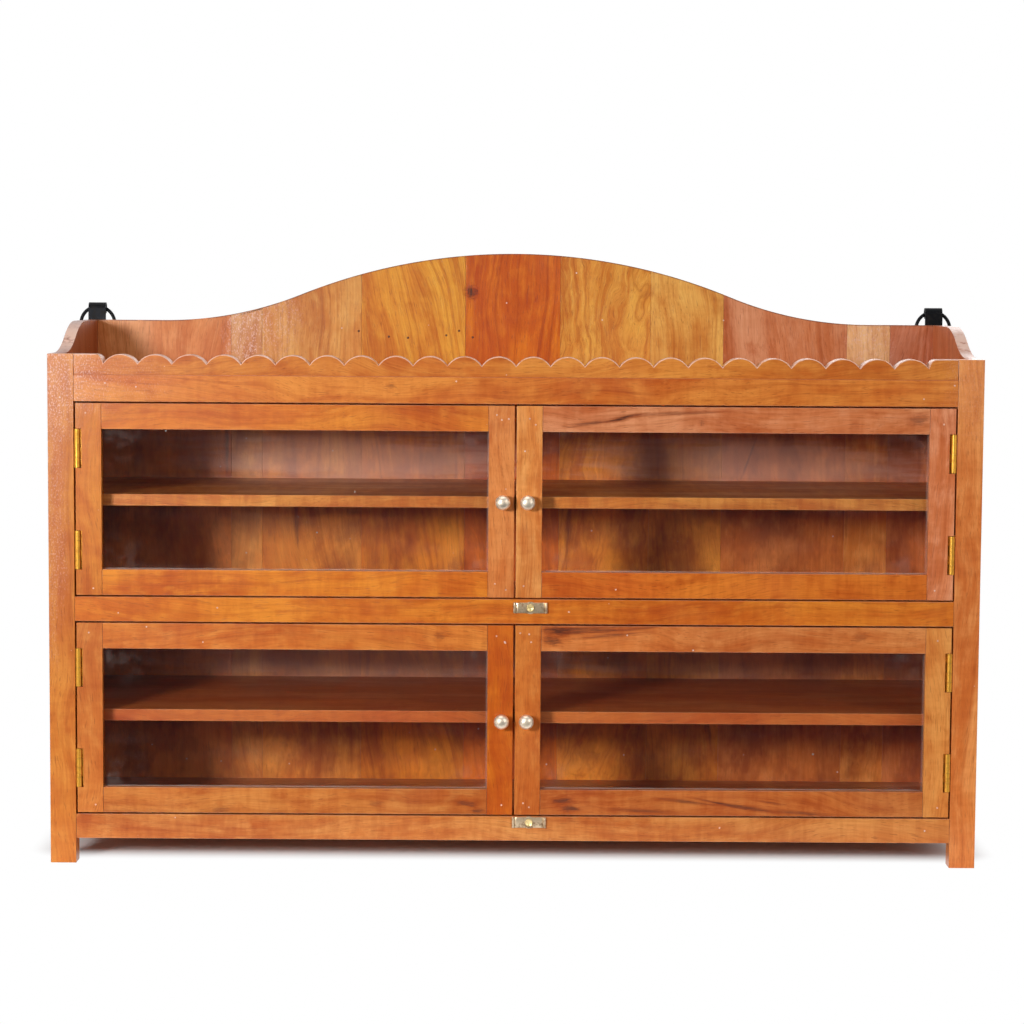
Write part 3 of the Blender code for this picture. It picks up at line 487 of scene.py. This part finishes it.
finishes = {
    "frontWood": woodFinish("frontWood", frontWoodLook, frontMarks, frontPaintedGlare),
    # The planks take the painted shade and light inside the case.
    "plankWood": woodFinish("plankWood", plankWoodLook, backMarks, backPaintedSheen, backFace, shadeInside=True),
    "shelfWood": woodFinish("shelfWood", shelfWoodLook),
    **{finish: metalFinish(*values) for finish, values in metals.items()},
    "glass": glassFinish(),
    "paneFilm": filmFinish(),
}
print("finishes ready:", ", ".join(finishes))


# Mesh helpers

def loft(sections, closed=False):
    # Rings of points (n, m, 3): face k of ring i joins points k and k + 1 of rings i and i + 1; ends capped.
    n, m = sections.shape[:2]
    ring = np.arange(n * m).reshape(n, m)
    lower = ring if closed else ring[:-1]
    upper = np.roll(ring, -1, axis=0) if closed else ring[1:]
    corners = [lower, np.roll(lower, -1, 1), np.roll(upper, -1, 1), upper]
    faces = np.stack(corners, -1).reshape(-1, 4).tolist()
    if not closed:
        faces += [ring[0][::-1].tolist(), ring[-1].tolist()]
    return sections.reshape(-1, 3), faces


def lathe(profile, centre, out=(0, -1, 0), steps=48):
    # Radius and height of a profile: centre + radius * (cos * side + sin * up) + height * out.
    radius, height = np.array(profile).T[:, :, None, None]
    out, up = np.array(out, float), np.array((0.0, 0.0, 1.0))
    turn = np.linspace(0, 2 * np.pi, steps, endpoint=False)[:, None]
    around = np.cos(turn) * np.cross(up, out) + np.sin(turn) * up
    return loft(np.array(centre) + radius * around + height * out)


def rectangle(left, foot, right, head):
    # Its four corners in x and z, from the lower left.
    return np.array([(left, foot), (right, foot), (right, head), (left, head)])


def slab(outline, near, far, ease, border=0.0):
    # A closed outline in x and z carried from near to far in y; both rims are quarter rounds of radius ease,
    # and a border leaves one more ring on the near face.
    ahead = np.roll(outline, -1, 0) - outline
    ahead /= np.linalg.norm(ahead, axis=1, keepdims=True)
    bisector = ahead + np.roll(ahead, 1, 0)
    bisector /= np.linalg.norm(bisector, axis=1, keepdims=True)
    inward = np.stack([-bisector[:, 1], bisector[:, 0]], 1)
    angle = np.linspace(0, np.pi / 2, 4)
    inset = np.concatenate([ease * (1 - np.sin(angle)), ease * (1 - np.cos(angle))])
    depth = np.concatenate([near + ease * (1 - np.cos(angle)), far - ease * (1 - np.sin(angle))])
    if border:
        inset, depth = np.append(border, inset), np.append(near, depth)
    flat = outline[None] + inset[:, None, None] * inward[None]
    return loft(np.stack([flat[..., 0], depth[:, None] + 0 * flat[..., 0], flat[..., 1]], -1))


smoothBelow = math.radians(35)  # sharper corners stay sharp


def buildPiece(name, shapes, finish, body, nodes=(), smooth=smoothBelow):
    # Shapes are (points, faces) pairs; they are stacked into one mesh, merged, and turned outwards.
    points, faces, start = [], [], 0
    for shapePoints, shapeFaces in shapes:
        points.append(shapePoints)
        faces += [[corner + start for corner in face] for face in shapeFaces]
        start += len(shapePoints)
    mesh = bpy.data.meshes.new(name)
    mesh.from_pydata(np.concatenate(points).tolist(), [], faces)
    bm = bmesh.new()
    bm.from_mesh(mesh)
    bmesh.ops.remove_doubles(bm, verts=bm.verts, dist=1e-7)
    bmesh.ops.recalc_face_normals(bm, faces=bm.faces)
    bm.to_mesh(mesh)
    bm.free()
    return enter(name, mesh, finish, body, nodes, smooth)


def enter(name, mesh, finish, body, nodes=(), smooth=smoothBelow):
    # Puts a finished mesh into the scene with its finish, ties it to its body and hides the nodes it
    # replaces.
    mesh.materials.clear()
    mesh.materials.append(finishes[finish])
    mesh.shade_smooth()
    mesh.set_sharp_from_angle(angle=smooth)
    made = bpy.data.objects.new(name, mesh)
    bpy.context.scene.collection.objects.link(made)
    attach(made, body)
    if nodes:
        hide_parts(*nodes)
    return made


def vertexArray(mesh):
    # All points of a mesh as rows of x, y and z.
    flat = np.empty(len(mesh.vertices) * 3)
    mesh.vertices.foreach_get("co", flat)
    return flat.reshape(-1, 3)


def setOnPoints(mesh, **values):
    # Stores one value for all points, or a row for each: a vector if it has three numbers, else a number.
    for name, value in values.items():
        wide = np.shape(value)[-1:] == (3,)
        layer = mesh.attributes.new(name, "FLOAT_VECTOR" if wide else "FLOAT", "POINT")
        spread = np.broadcast_to(value, (len(mesh.vertices), 3) if wide else (len(mesh.vertices),))
        flat = np.ascontiguousarray(spread, np.float32).ravel()
        layer.data.foreach_set("vector" if wide else "value", flat)


pith = {"aside": (0.020, 0.075), "run": 40, "deep": (0.012, 0.045)}


def markBoard(mesh, tone, along, look, burl=0.0, slant=0.0):
    # Grain coordinates: the way of the grain first, moved by a random run, then the distances across the
    # board from a pith line beside it. The tone and the strengths of the figure go with them.
    at = vertexArray(mesh)
    order = {"x": (0, 2, 1), "z": (2, 0, 1)}[along]
    grain = (at - (at.min(0) + at.max(0)) / 2)[:, order]
    side = rng.choice((-1, 1)) * rng.uniform(*pith["aside"])
    grain += (rng.uniform(-pith["run"], pith["run"]), side, rng.uniform(*pith["deep"]))
    grain[:, 1] += slant * (grain[:, 0] - grain[:, 0].mean())
    setOnPoints(mesh, grainAt=grain, boardTone=tone, boardLook=look, boardBurl=burl)


easing = {"sharp": math.radians(50), "flat": math.radians(1), "jointClear": 0.0025, "rimWearAndSheen": 0.5,
          "sideways": 0.1, "facing": 0.97, "steep": 0.5}


def easedCopy(node, ease, shortest=0.006, wearAndSheen=0.3):
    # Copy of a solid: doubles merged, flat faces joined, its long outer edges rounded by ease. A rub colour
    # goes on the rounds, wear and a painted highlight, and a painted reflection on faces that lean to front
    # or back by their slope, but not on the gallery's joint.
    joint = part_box("top_rail")[1].z
    bm = bmesh.new()
    bm.from_mesh(frame["nodes"][node].data)
    arris = bm.faces.layers.float.new("arris")
    bmesh.ops.remove_doubles(bm, verts=bm.verts, dist=1e-6)
    bmesh.ops.dissolve_limit(bm, angle_limit=easing["flat"], verts=bm.verts, edges=bm.edges)
    outer = [edge for edge in bm.edges if edge.is_manifold and edge.calc_length() > shortest
             and edge.calc_face_angle_signed() > easing["sharp"]]
    made = bmesh.ops.bevel(bm, geom=outer, offset=ease, segments=2, profile=0.5, affect="EDGES",
                           clamp_overlap=True)
    bm.normal_update()
    slim = set(made["faces"])
    for face in bm.faces:
        aside, ahead = abs(face.normal.x), abs(face.normal.y)
        slope = ahead if aside < easing["sideways"] and ahead < easing["facing"] else 0.0
        if abs(face.calc_center_median().z - joint) > easing["jointClear"]:
            slopeSheen = wearAndSheen * min(1.0, slope / easing["steep"])
            face[arris] = min(wearAndSheen, easing["rimWearAndSheen"]) if face in slim else slopeSheen
    mesh = bpy.data.meshes.new(node + "_board")
    bm.to_mesh(mesh)
    bm.free()
    return mesh


def weighNormals(made):
    # Corner normals weighted by the areas of the faces around them.
    made.modifiers.new("flatFaces", "WEIGHTED_NORMAL").keep_sharp = True


# Boards of the case and doors: tone (sRGB), way of the grain, finish, strengths of clouds, rings and ribbons

caseBoards = {
    "left_post": ((210, 123, 43), "z", "frontWood", (0.50, 0.30, 0.40)),
    "right_post": ((226, 133, 63), "z", "frontWood", (0.55, 0.32, 0.40)),
    "left_side": ((157, 69, 24), "z", "frontWood", (0.60, 0.50, 0.20)),
    "right_side": ((196, 104, 54), "z", "frontWood", (0.60, 0.50, 0.20)),
    "top_rail": ((211, 116, 41), "x", "frontWood", (0.60, 0.36, 0.45)),
    "middle_rail": ((213, 115, 30), "x", "frontWood", (0.60, 0.32, 0.50)),
    "bottom_rail": ((209, 125, 55), "x", "frontWood", (0.60, 0.25, 0.75)),
    "scalloped_gallery": ((209, 118, 41), "x", "frontWood", (0.60, 0.42, 0.35)),
    **dict.fromkeys(("top_board", "middle_board", "bottom_board"),
                    ((190, 104, 52), "x", "shelfWood", (0.60, 0.50, 0.20))),
    "upper_shelf": ((218, 125, 48), "x", "shelfWood", (0.60, 0.40, 1.00)),
    "lower_shelf": ((201, 97, 36), "x", "shelfWood", (0.50, 0.35, 0.40)),
}
doorLook = {"hinge_stile": ("z", (0.60, 0.32, 0.40)), "meeting_stile": ("z", (0.60, 0.32, 0.40)),
            "door_top_rail": ("x", (0.62, 0.36, 0.50)), "door_bottom_rail": ("x", (0.60, 0.32, 0.70))}
doorTones = {  # in the order of doorLook
    "upper_left": ((205, 114, 34), (213, 121, 56), (213, 116, 34), (221, 123, 31)),
    "upper_right": ((226, 137, 86), (226, 143, 69), (209, 123, 72), (207, 103, 27)),
    "lower_left": ((206, 120, 48), (205, 101, 18), (212, 118, 43), (198, 115, 47)),
    "lower_right": ((219, 133, 58), (206, 115, 44), (212, 122, 57), (190, 102, 41)),
}
boardEase = {"left_side": (0.0009, 1.6), "right_side": (0.0009, 1.6), "upper_shelf": (0.0006, 0.6),
             "lower_shelf": (0.0006, 0.6), "others": (0.0002, 0.3)}  # radius, and strength of the edges' wear and painted highlight
gallery = {"count": 24, "depth": 0.0095, "end": 0.0297, "shoulder": 0.0075, "steps": 14, "ease": 0.0011,
           "skin": 1e-5, "plainFoot": 0.003}


def galleryOutline(low, high):
    # Scallops from right to left: arcs of one radius over equal chords, a quarter ellipse at each shoulder.
    cusp, depth = high.x - gallery["end"], gallery["depth"]
    pitch = 2 * cusp / gallery["count"]
    radius = (pitch ** 2 / 4 + depth ** 2) / (2 * depth)
    spread = math.asin(pitch / 2 / radius)
    turn = np.linspace(spread, -spread, gallery["steps"], endpoint=False)
    middles = cusp - pitch * (np.arange(gallery["count"]) + 0.5)
    arcs = np.stack([(middles[:, None] + radius * np.sin(turn)).ravel(),
                     np.tile(high.z - radius + radius * np.cos(turn), gallery["count"])], 1)
    angle = np.linspace(0, np.pi / 2, 7)[:-1]
    shoulder = np.stack([cusp + gallery["shoulder"] * (1 - np.sin(angle)),
                         high.z - depth + depth * np.cos(angle)], 1)
    return np.concatenate([[(low.x, low.z), (high.x, low.z), (high.x, high.z)], shoulder, arcs,
                           [(-cusp, high.z - depth)], (shoulder * (-1, 1))[::-1], [(low.x, high.z)]])


def buildGallery(tone, along, finish, look):
    # The outline carried through the board's thickness; wear and a painted highlight on the scallops' front
    # round.
    low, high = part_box("scalloped_gallery")
    ease = gallery["ease"]
    board = slab(galleryOutline(low, high), low.y, high.y, ease)
    made = buildPiece("scalloped_gallery_board", [board], finish, "case", ("scalloped_gallery",))
    markBoard(made.data, linear(tone), along, look)
    at = vertexArray(made.data)
    rounded = (at[:, 1] > low.y + gallery["skin"]) & (at[:, 1] < low.y + 2 * ease)
    setOnPoints(made.data, arris=rounded & (at[:, 2] > low.z + gallery["plainFoot"]))
    weighNormals(made)


def dressBoard(node, tone, along, finish, look):
    # An eased copy of the board in its own tone and grain.
    ease, wearAndSheen = boardEase.get(node, boardEase["others"])
    mesh = easedCopy(node, ease, wearAndSheen=wearAndSheen)
    markBoard(mesh, linear(tone), along, look)
    weighNormals(enter(node + "_board", mesh, finish, nodeBody[node], (node,)))


for node, values in caseBoards.items():
    if node == "scalloped_gallery":
        buildGallery(*values)
    else:
        dressBoard(node, *values)
for door, tones in doorTones.items():
    for (part, (along, look)), tone in zip(doorLook.items(), tones):
        dressBoard(door + "_" + part, tone, along, "frontWood", look)

glueLine = {"depth": 0.0035, "set": 0.0003, "inset": 0.0004, "ease": 0.0001}


def buildGlueLine():
    # Strip from end to end of the joint between the top rail and the gallery, a little behind the face.
    low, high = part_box("scalloped_gallery")
    inset, front = glueLine["inset"], frontFace + glueLine["set"]
    outline = rectangle(low.x + inset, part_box("top_rail")[1].z - inset, high.x - inset, low.z + inset)
    strip = slab(outline, front, front + glueLine["depth"], glueLine["ease"])
    buildPiece("gallery_glue_line", [strip], "glue", "case")


buildGlueLine()
print("boards dressed")

# Planked back with its crest: each plank's right-hand seam (mm), tone, strengths, burl and slant of its grain

planks = (
    (-312, (218, 136, 73), (0.50, 0.35, 0.20), 0.000, 0.02),
    (-278, (217, 152, 86), (0.60, 0.50, 0.20), 0.004, 0.00),
    (-169, (212, 139, 63), (0.90, 0.60, 0.25), 0.006, 0.06),
    (-55, (217, 136, 39), (0.70, 0.70, 0.20), 0.004, 0.17),
    (49, (209, 103, 18), (0.70, 0.80, 0.15), 0.002, 0.03),
    (148, (218, 140, 50), (0.60, 0.70, 0.20), 0.034, -0.10),
    (228, (219, 148, 63), (0.60, 0.60, 0.30), 0.004, 0.05),
    (364, (205, 125, 77), (0.60, 0.40, 0.20), 0.004, 0.03),
    (411, (228, 162, 98), (0.60, 0.50, 0.20), 0.004, 0.03),
    (None, (195, 116, 78), (0.60, 0.50, 0.20), 0.002, 0.00),
)
back = {"joint": 0.0001, "ease": 0.0003, "border": 0.0016, "rimDepth": 0.003, "crestRun": 0.385,
        "hollowRun": 0.150, "steps": 22}


def crestHeight(across):
    # Ogee of two tangent arcs: hollow from the shoulder for hollowRun, then round up to the middle.
    low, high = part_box("left_side")[1].z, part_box("back_panel")[1].z
    run, rise = back["crestRun"], high - low
    turn = 2 * math.atan2(rise, run)
    radii = run / math.sin(turn)
    hollow = radii * back["hollowRun"] / run
    crown = radii - hollow
    inset = np.clip(run - np.abs(across), 0, run)
    foot = low + hollow - np.sqrt(np.clip(hollow ** 2 - inset ** 2, 0, None))
    top = high - crown + np.sqrt(np.clip(crown ** 2 - np.abs(across) ** 2, 0, None))
    return np.where(inset < hollow * math.sin(turn), foot, top)


def buildBack():
    # Each plank runs from seam to seam under its stretch of the crest, with wear on the crest's front edge.
    low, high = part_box("back_panel")
    left = low.x
    for index, (seam, tone, look, burl, slant) in enumerate(planks):
        right = high.x if seam is None else seam / 1000
        across = np.linspace(right, left, back["steps"])
        top = np.stack([across, crestHeight(across)], 1)
        ends = top[[0, -1]] - (0, back["rimDepth"])
        outline = np.concatenate([[(left, low.z), (right, low.z)], ends[:1], top, ends[1:]])
        plank = slab(outline, low.y, high.y, back["ease"], back["border"])
        made = buildPiece("back_plank_%d" % (index + 1), [plank], "plankWood", "case")
        markBoard(made.data, linear(tone), "z", look, burl, slant)
        at = vertexArray(made.data)
        ahead = at[:, 1] < low.y + 2 * back["ease"]
        setOnPoints(made.data, arris=ahead & (at[:, 2] > crestHeight(at[:, 0]) - 2 * back["ease"]))
        weighNormals(made)
        left = right + back["joint"]
        if index == 0:
            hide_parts("back_panel")


buildBack()
print("back planked")

# Knobs, hinges, turn buttons, hangers

knob = {"head": 0.0105, "neck": 0.0038, "rose": 0.0056, "bead": 0.0009, "beadAt": 0.0012, "neckFoot": 0.0030,
        "domeRise": 0.62, "domePower": 0.8, "steps": 72, "spigot": ((0.002, 0.0003), (0.002, -0.012))}


def knobProfile(radius, length):
    # Radius and height from the tip to the rose: a flattened dome, a hollow neck and a beaded foot.
    head, neck, ball = knob["head"], knob["neck"], knob["bead"]
    rise = head * knob["domeRise"]
    angle = np.linspace(0.02, np.pi / 2, 22)
    rim = length - rise
    dome = np.stack([radius * np.sin(angle) ** knob["domePower"], rim + rise * np.cos(angle)], 1)
    under = np.linspace(0, np.pi / 2, 12)[1:]
    hollow = np.stack([neck + (radius - neck) * np.cos(under),
                       rim - head * (1 - knob["domeRise"]) * np.sin(under)], 1)
    bead = np.linspace(0.5 * np.pi, -0.5 * np.pi, 9)
    foot = np.stack([knob["rose"] - ball + ball * np.cos(bead), knob["beadAt"] + ball * np.sin(bead)], 1)
    return np.concatenate([dome, hollow, [(neck, knob["neckFoot"])], foot, knob["spigot"]])


def buildKnobs():
    # The profile turned about the middle of each knob's solid, out from the front.
    for door in doorNames:
        low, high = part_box(door + "_knob")
        centre = ((low.x + high.x) / 2, frontFace, (low.z + high.z) / 2)
        profile = knobProfile((high.x - low.x) / 2, frontFace - low.y)
        turned = lathe(profile, centre, steps=knob["steps"])
        buildPiece(door + "_turned_knob", [turned], "champagne", door + "_door", (door + "_knob",))


screw = {"radius": 0.0022, "rise": 0.0005, "spread": 0.0122, "depth": 0.0102, "steps": 24,
         "reach": (0.02, 0.30, 0.52, 0.66, 0.80, 0.93, 1.0, 0.98),
         "height": (0.45, 0.50, 0.70, 0.94, 1.0, 0.80, 0.30, -0.50)}
leafLook = {"ease": 0.0002, "shortest": 0.003, "plate": 0.0011}


def screwShape(centre, out, radius, rise):
    # Dished head: radius and height from the middle of the dish over the rim to below the face.
    profile = np.stack([radius * np.array(screw["reach"]), rise * np.array(screw["height"])], 1)
    return lathe(profile, centre, out, screw["steps"])


def buildHinges():
    # Eased copies of the leaves, and two screws in each plate, as far above its middle as below.
    screws = {body: [] for body in ("case", *(door + "_door" for door in doorNames))}
    for door in doorNames:
        inwards = 1 if door.endswith("left") else -1
        for end in ("top", "bottom"):
            for leaf, way in (("frame_leaf", inwards), ("door_leaf", -inwards)):
                node = "%s_%s_hinge_%s" % (door, end, leaf)
                mesh = easedCopy(node, leafLook["ease"], leafLook["shortest"])
                weighNormals(enter(node + "_brass", mesh, "brass", nodeBody[node], (node,)))
                low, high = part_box(node)
                face = low.x + leafLook["plate"] if way > 0 else high.x - leafLook["plate"]
                for level in (-1, 1):
                    up = (low.z + high.z) / 2 + level * screw["spread"]
                    head = screwShape((face, high.y - screw["depth"] / 2, up), (way, 0, 0),
                                      screw["radius"], screw["rise"])
                    screws[nodeBody[node]].append(head)
    for body, shapes in screws.items():
        buildPiece(body + "_hinge_screws", shapes, "screwBrass", body)


button = {"thickness": 0.0014, "curl": 0.0014, "groove": 0.0005, "ease": 0.00025, "foot": 0.0003,
          "width": 0.0107, "headRadius": 0.0039, "headRise": 0.0019,  # the boss: radius, share of thickness
          "boss": ((0.0001, 0.97), (0.0041, 0.97), (0.0045, 0.55), (0.0049, 0.55), (0.0053, 0.98),
                   (0.0059, 0.90), (0.0062, 0.70), (0.0062, 0.0), (0.0017, 0.0))}


def buttonSection(reach, foot):
    # Outline in x and height: a flat strip, a groove before each end, and a bar curled round each end.
    curl, dip, top = button["curl"], button["groove"], foot + button["thickness"]
    angle = np.linspace(-np.pi / 2, np.pi * 0.96, 15)
    bar = np.stack([reach + curl * np.cos(angle), foot + curl + curl * np.sin(angle)], 1)
    start = reach - curl
    dent = [(start - dip, top - dip), (start - 3 * dip, top - 0.1 * dip), (start - 5 * dip, top)]
    right = np.concatenate([bar, dent])
    return np.concatenate([right, (right * (-1, 1))[::-1]])


def buildButtons():
    # The section carried across the strip's width and laid on the front, with a turned boss and its screw.
    foot, thickness = button["foot"], button["thickness"]
    for level in ("upper", "lower"):
        node = level + "_turn_button"
        low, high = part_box(node)
        middle = (low + high) / 2
        outline = buttonSection((high.x - low.x) / 2 - button["curl"], foot)
        half = min(high.z - low.z, button["width"]) / 2
        points, faces = slab(outline, -half, half, button["ease"])
        strip = np.stack([points[:, 0] + middle.x, frontFace - points[:, 2], points[:, 1] + middle.z], 1)
        profile = np.array(button["boss"]) * (1, thickness) + (0, foot)
        boss = lathe(profile, (middle.x, frontFace, middle.z))
        buildPiece(node + "_strip", [(strip, faces), boss], "stripMetal", nodeBody[node], (node,))
        head = screwShape((middle.x, frontFace - foot - thickness, middle.z), (0, -1, 0),
                          button["headRadius"], button["headRise"])
        buildPiece(level + "_button_screw", [head], "screwBrass", nodeBody[node])


hanger = {"screwLevels": (0.012, 0.034), "screwRadius": 0.0034, "screwRise": 0.0009, "plate": 0.0020,
          "ease": 0.0003, "shortest": 0.003, "ringSteps": (96, 20)}


def ringShape(low, high):
    # Torus in a box: out = mean + wire * cos, carried round the middle in x and z, with wire * sin in y.
    middle, wire = (low + high) / 2, (high.y - low.y) / 2
    mean = (high.x - low.x) / 2 - wire
    steps = [np.linspace(0, 2 * np.pi, count, endpoint=False) for count in hanger["ringSteps"]]
    turn, around = steps[0][:, None], steps[1][None]
    out = mean + wire * np.cos(around)
    return loft(np.stack([middle.x + out * np.cos(turn), middle.y + wire * np.sin(around) + 0 * turn,
                          middle.z + out * np.sin(turn)], -1), closed=True)


def buildHangers():
    # An eased copy of each strap with its screws, and a ring in its loop.
    for side in ("left", "right"):
        node = side + "_hanger_strap"
        mesh = easedCopy(node, hanger["ease"], hanger["shortest"])
        weighNormals(enter(node + "_iron", mesh, "iron", nodeBody[node], (node,)))
        low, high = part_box(node)
        heads = [screwShape(((low.x + high.x) / 2, low.y + hanger["plate"], low.z + level), (0, 1, 0),
                            hanger["screwRadius"], hanger["screwRise"]) for level in hanger["screwLevels"]]
        buildPiece(side + "_strap_screws", heads, "iron", "case")
        ring = ringShape(*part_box(side + "_ring"))
        buildPiece(side + "_forged_ring", [ring], "iron", side + "_hanger_ring", (side + "_ring",))


buildKnobs()
buildHinges()
buildButtons()
buildHangers()
print("hardware built")

# Nail heads in the back and filled pin holes in the front (mm across and up)

dots = {"nailRadius": 0.0013, "pinRadius": 0.0009, "rise": 0.00025, "steps": 20,
        "cap": ((0.03, 1.0), (0.55, 0.92), (0.90, 0.55), (1.0, 0.0), (1.0, -1.0))}
nails = ((-172, 537), (-139, 531), (-118, 530), (-76, 533), (-62, 538), (-47, 531))
pins = {
    "upper_left_door": ((-19, 458.5), (-14, 453.6), (-7, 454.6), (-9, 282), (-20, 288), (-432, 458),
                        (-425, 281)),
    "upper_right_door": ((102, 283), (14, 455), (20, 449), (9, 286), (430, 452), (424, 284)),
    "lower_left_door": ((-18, 235), (-9, 228), (-12, 62), (-430, 236), (-424, 60)),
    "lower_right_door": ((6, 238), (15, 237), (17, 229), (10, 64), (16, 60), (428, 233), (431, 62)),
    "case": ((55, 260), (-60, 492), (-412, 488), (440, 491), (-300, 262), (210, 40)),
}


def dotShapes(places, depth, radius):
    # A low cap turned about each place: shares of the radius and of the rise.
    profile = np.array(dots["cap"]) * (radius, dots["rise"])
    return [lathe(profile, (over / 1000, depth, up / 1000), steps=dots["steps"]) for over, up in places]


def buildDots():
    # Nails stand on the planks, pins on the front of each body.
    buildPiece("back_nails", dotShapes(nails, backFace, dots["nailRadius"]), "nailIron", "case")
    for body, places in pins.items():
        buildPiece(body + "_pins", dotShapes(places, frontFace, dots["pinRadius"]), "filler", body)


buildDots()
print("nails and pins set")

# Panes with the film on their faces

pane = {"ease": 0.0004, "filmThickness": 0.00012, "filmGap": 0.00006, "filmTuck": 0.002, "filmEase": 0.00002,
        "smooth": 0.05}


def buildPanes():
    # A sheet that fills the glass solid's box, and before it a film over the opening, tucked under the frame.
    for door in doorNames:
        body, node, smooth = door + "_door", door + "_glass", pane["smooth"]
        low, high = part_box(node)
        sheet = slab(rectangle(low.x, low.z, high.x, high.z), low.y, high.y, pane["ease"])
        buildPiece(door + "_pane", [sheet], "glass", body, (node,), smooth=smooth)
        stiles = (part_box(door + "_hinge_stile"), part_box(door + "_meeting_stile"))
        left, right = sorted(stiles, key=lambda box: box[0].x)
        sightLow = np.array((left[1].x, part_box(door + "_door_bottom_rail")[1].z))
        sightHigh = np.array((right[0].x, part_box(door + "_door_top_rail")[0].z))
        far = low.y - pane["filmGap"]
        outline = rectangle(*(sightLow - pane["filmTuck"]), *(sightHigh + pane["filmTuck"]))
        film = slab(outline, far - pane["filmThickness"], far, pane["filmEase"])
        made = buildPiece(door + "_pane_film", [film], "paneFilm", body, smooth=smooth)
        setOnPoints(made.data, boardLow=(sightLow[0], 0, sightLow[1]),
                    boardHigh=(sightHigh[0], 0, sightHigh[1]))


buildPanes()
print("panes glazed")

# Stage: floor, world, lamps, camera

stage = {"floorTone": (0.92, 0.89, 0.87), "floorFront": -0.34, "floorRear": 4.0, "floorSide": 4.0,
         "floorLevel": -0.0004, "shadowHalf": (0.450, 0.060), "shadowFade": 0.055, "fill": 0.125,
         "fillTone": (1, 0.985, 0.97, 1), "dimFront": 0.07, "aimHeight": 0.30}
lamps = {"windowLeft": ((-1.18, -2.03, 0.72), (0.42, 0.30), 40.0),  # place, size, watts
         "bounceRight": ((2.2, -2.5, 1.25), (1.5, 1.5), 30.0),
         "rearSoft": ((0.9, 2.7, 1.3), (2.2, 1.4), 18.0),
         "skyAbove": ((-0.3, -0.5, 2.9), (2.2, 1.6), 19.0)}
camera = {"lens": 94.92, "sensor": 36.0, "at": (-0.01028, frontFace - 2.70816, 0.59034),
          "pitch": 0.0844985, "yaw": -0.0026036, "roll": -0.0068864}


def backdropRays():
    # One for rays that are shown the backdrop (camera, glossy, transmission), else nought; then camera alone.
    path = addNode("ShaderNodeLightPath").outputs
    seen = calc("MAXIMUM", path["Is Glossy Ray"], path["Is Transmission Ray"])
    return calc("MAXIMUM", seen, path["Is Camera Ray"]), path["Is Camera Ray"]


def buildFloor():
    # Pale floor; its shadow stays under the object, and beyond a rounded box it is shown as plain white.
    side, front, rear, level = (stage[key] for key in ("floorSide", "floorFront", "floorRear", "floorLevel"))
    mesh = bpy.data.meshes.new("studioFloor")
    corners = [(-side, front, level), (side, front, level), (side, rear, level), (-side, rear, level)]
    mesh.from_pydata(corners, [], [(0, 1, 2, 3)])
    material, shader = newMaterial("paleFloor")
    fillSockets(shader, {"Base Color": (*stage["floorTone"], 1), "Roughness": 0.9, "Specular IOR Level": 0.1})
    spread = addNode("ShaderNodeVectorMath", {0: objectPlace()}, operation="ABSOLUTE").outputs[0]
    beyond = vectorCalc("SUBTRACT", spread, (*stage["shadowHalf"], 9.0))
    far = lengthOf(vectorCalc("MAXIMUM", beyond, (0, 0, 0)))
    away = times(backdropRays()[0], remap(far, 0.0, stage["shadowFade"]))
    white = addNode("ShaderNodeEmission", {"Color": (1, 1, 1, 1), "Strength": 1.0})
    mixSurface(away, shader, white)
    mesh.materials.append(material)
    floor = bpy.data.objects.new("studioFloor", mesh)
    bpy.context.scene.collection.objects.link(floor)


def buildWorld():
    # White behind the object for camera, glossy and transmission rays; the room on the camera's side is dim.
    world = bpy.data.worlds.new("studio")
    bpy.context.scene.world = world
    world.use_nodes = True
    desk["tree"] = world.node_tree
    desk["tree"].nodes.clear()
    way = split(addNode("ShaderNodeTexCoord").outputs["Generated"])
    seen, cameraRay = backdropRays()
    room = remap(way["Y"], -0.75, 0.25, stage["dimFront"], 1.0)
    shown = calc("MAXIMUM", room, cameraRay)
    colour = addNode("ShaderNodeCombineColor", {0: shown, 1: shown, 2: shown}).outputs[0]
    backdrop = addNode("ShaderNodeBackground", {"Color": colour, "Strength": 1.0})
    fill = addNode("ShaderNodeBackground", {"Color": stage["fillTone"], "Strength": stage["fill"]})
    mixSurface(seen, fill, backdrop, addNode("ShaderNodeOutputWorld"))


def buildLamps():
    # Rectangles turned to the middle of the front.
    aim = Vector((0.0, frontFace, stage["aimHeight"]))
    for name, (place, size, power) in lamps.items():
        data = bpy.data.lights.new(name, "AREA")
        data.shape = "RECTANGLE"
        data.size, data.size_y = size
        data.energy = power
        lamp = bpy.data.objects.new(name, data)
        lamp.location = place
        lamp.rotation_euler = (aim - lamp.location).to_track_quat("-Z", "Y").to_euler()
        bpy.context.scene.collection.objects.link(lamp)


def buildCamera():
    # Right, forward and up from yaw, pitch and roll; a camera looks down its own -z.
    yaw = Matrix.Rotation(camera["yaw"], 3, "Z")
    pitch = Matrix.Rotation(-camera["pitch"], 3, "X")
    roll = Matrix.Rotation(camera["roll"], 3, "Y")
    turn = yaw @ pitch @ roll @ Matrix.Rotation(math.pi / 2, 3, "X")
    data = bpy.data.cameras.new("photoCamera")
    data.sensor_width = camera["sensor"]
    data.lens = camera["lens"]
    made = bpy.data.objects.new("photoCamera", data)
    made.matrix_world = Matrix.Translation(camera["at"]) @ turn.to_4x4()
    bpy.context.scene.collection.objects.link(made)
    bpy.context.scene.camera = made


buildFloor()
buildWorld()
buildLamps()
buildCamera()
bpy.context.scene.view_settings.view_transform = "Standard"
print("stage set")
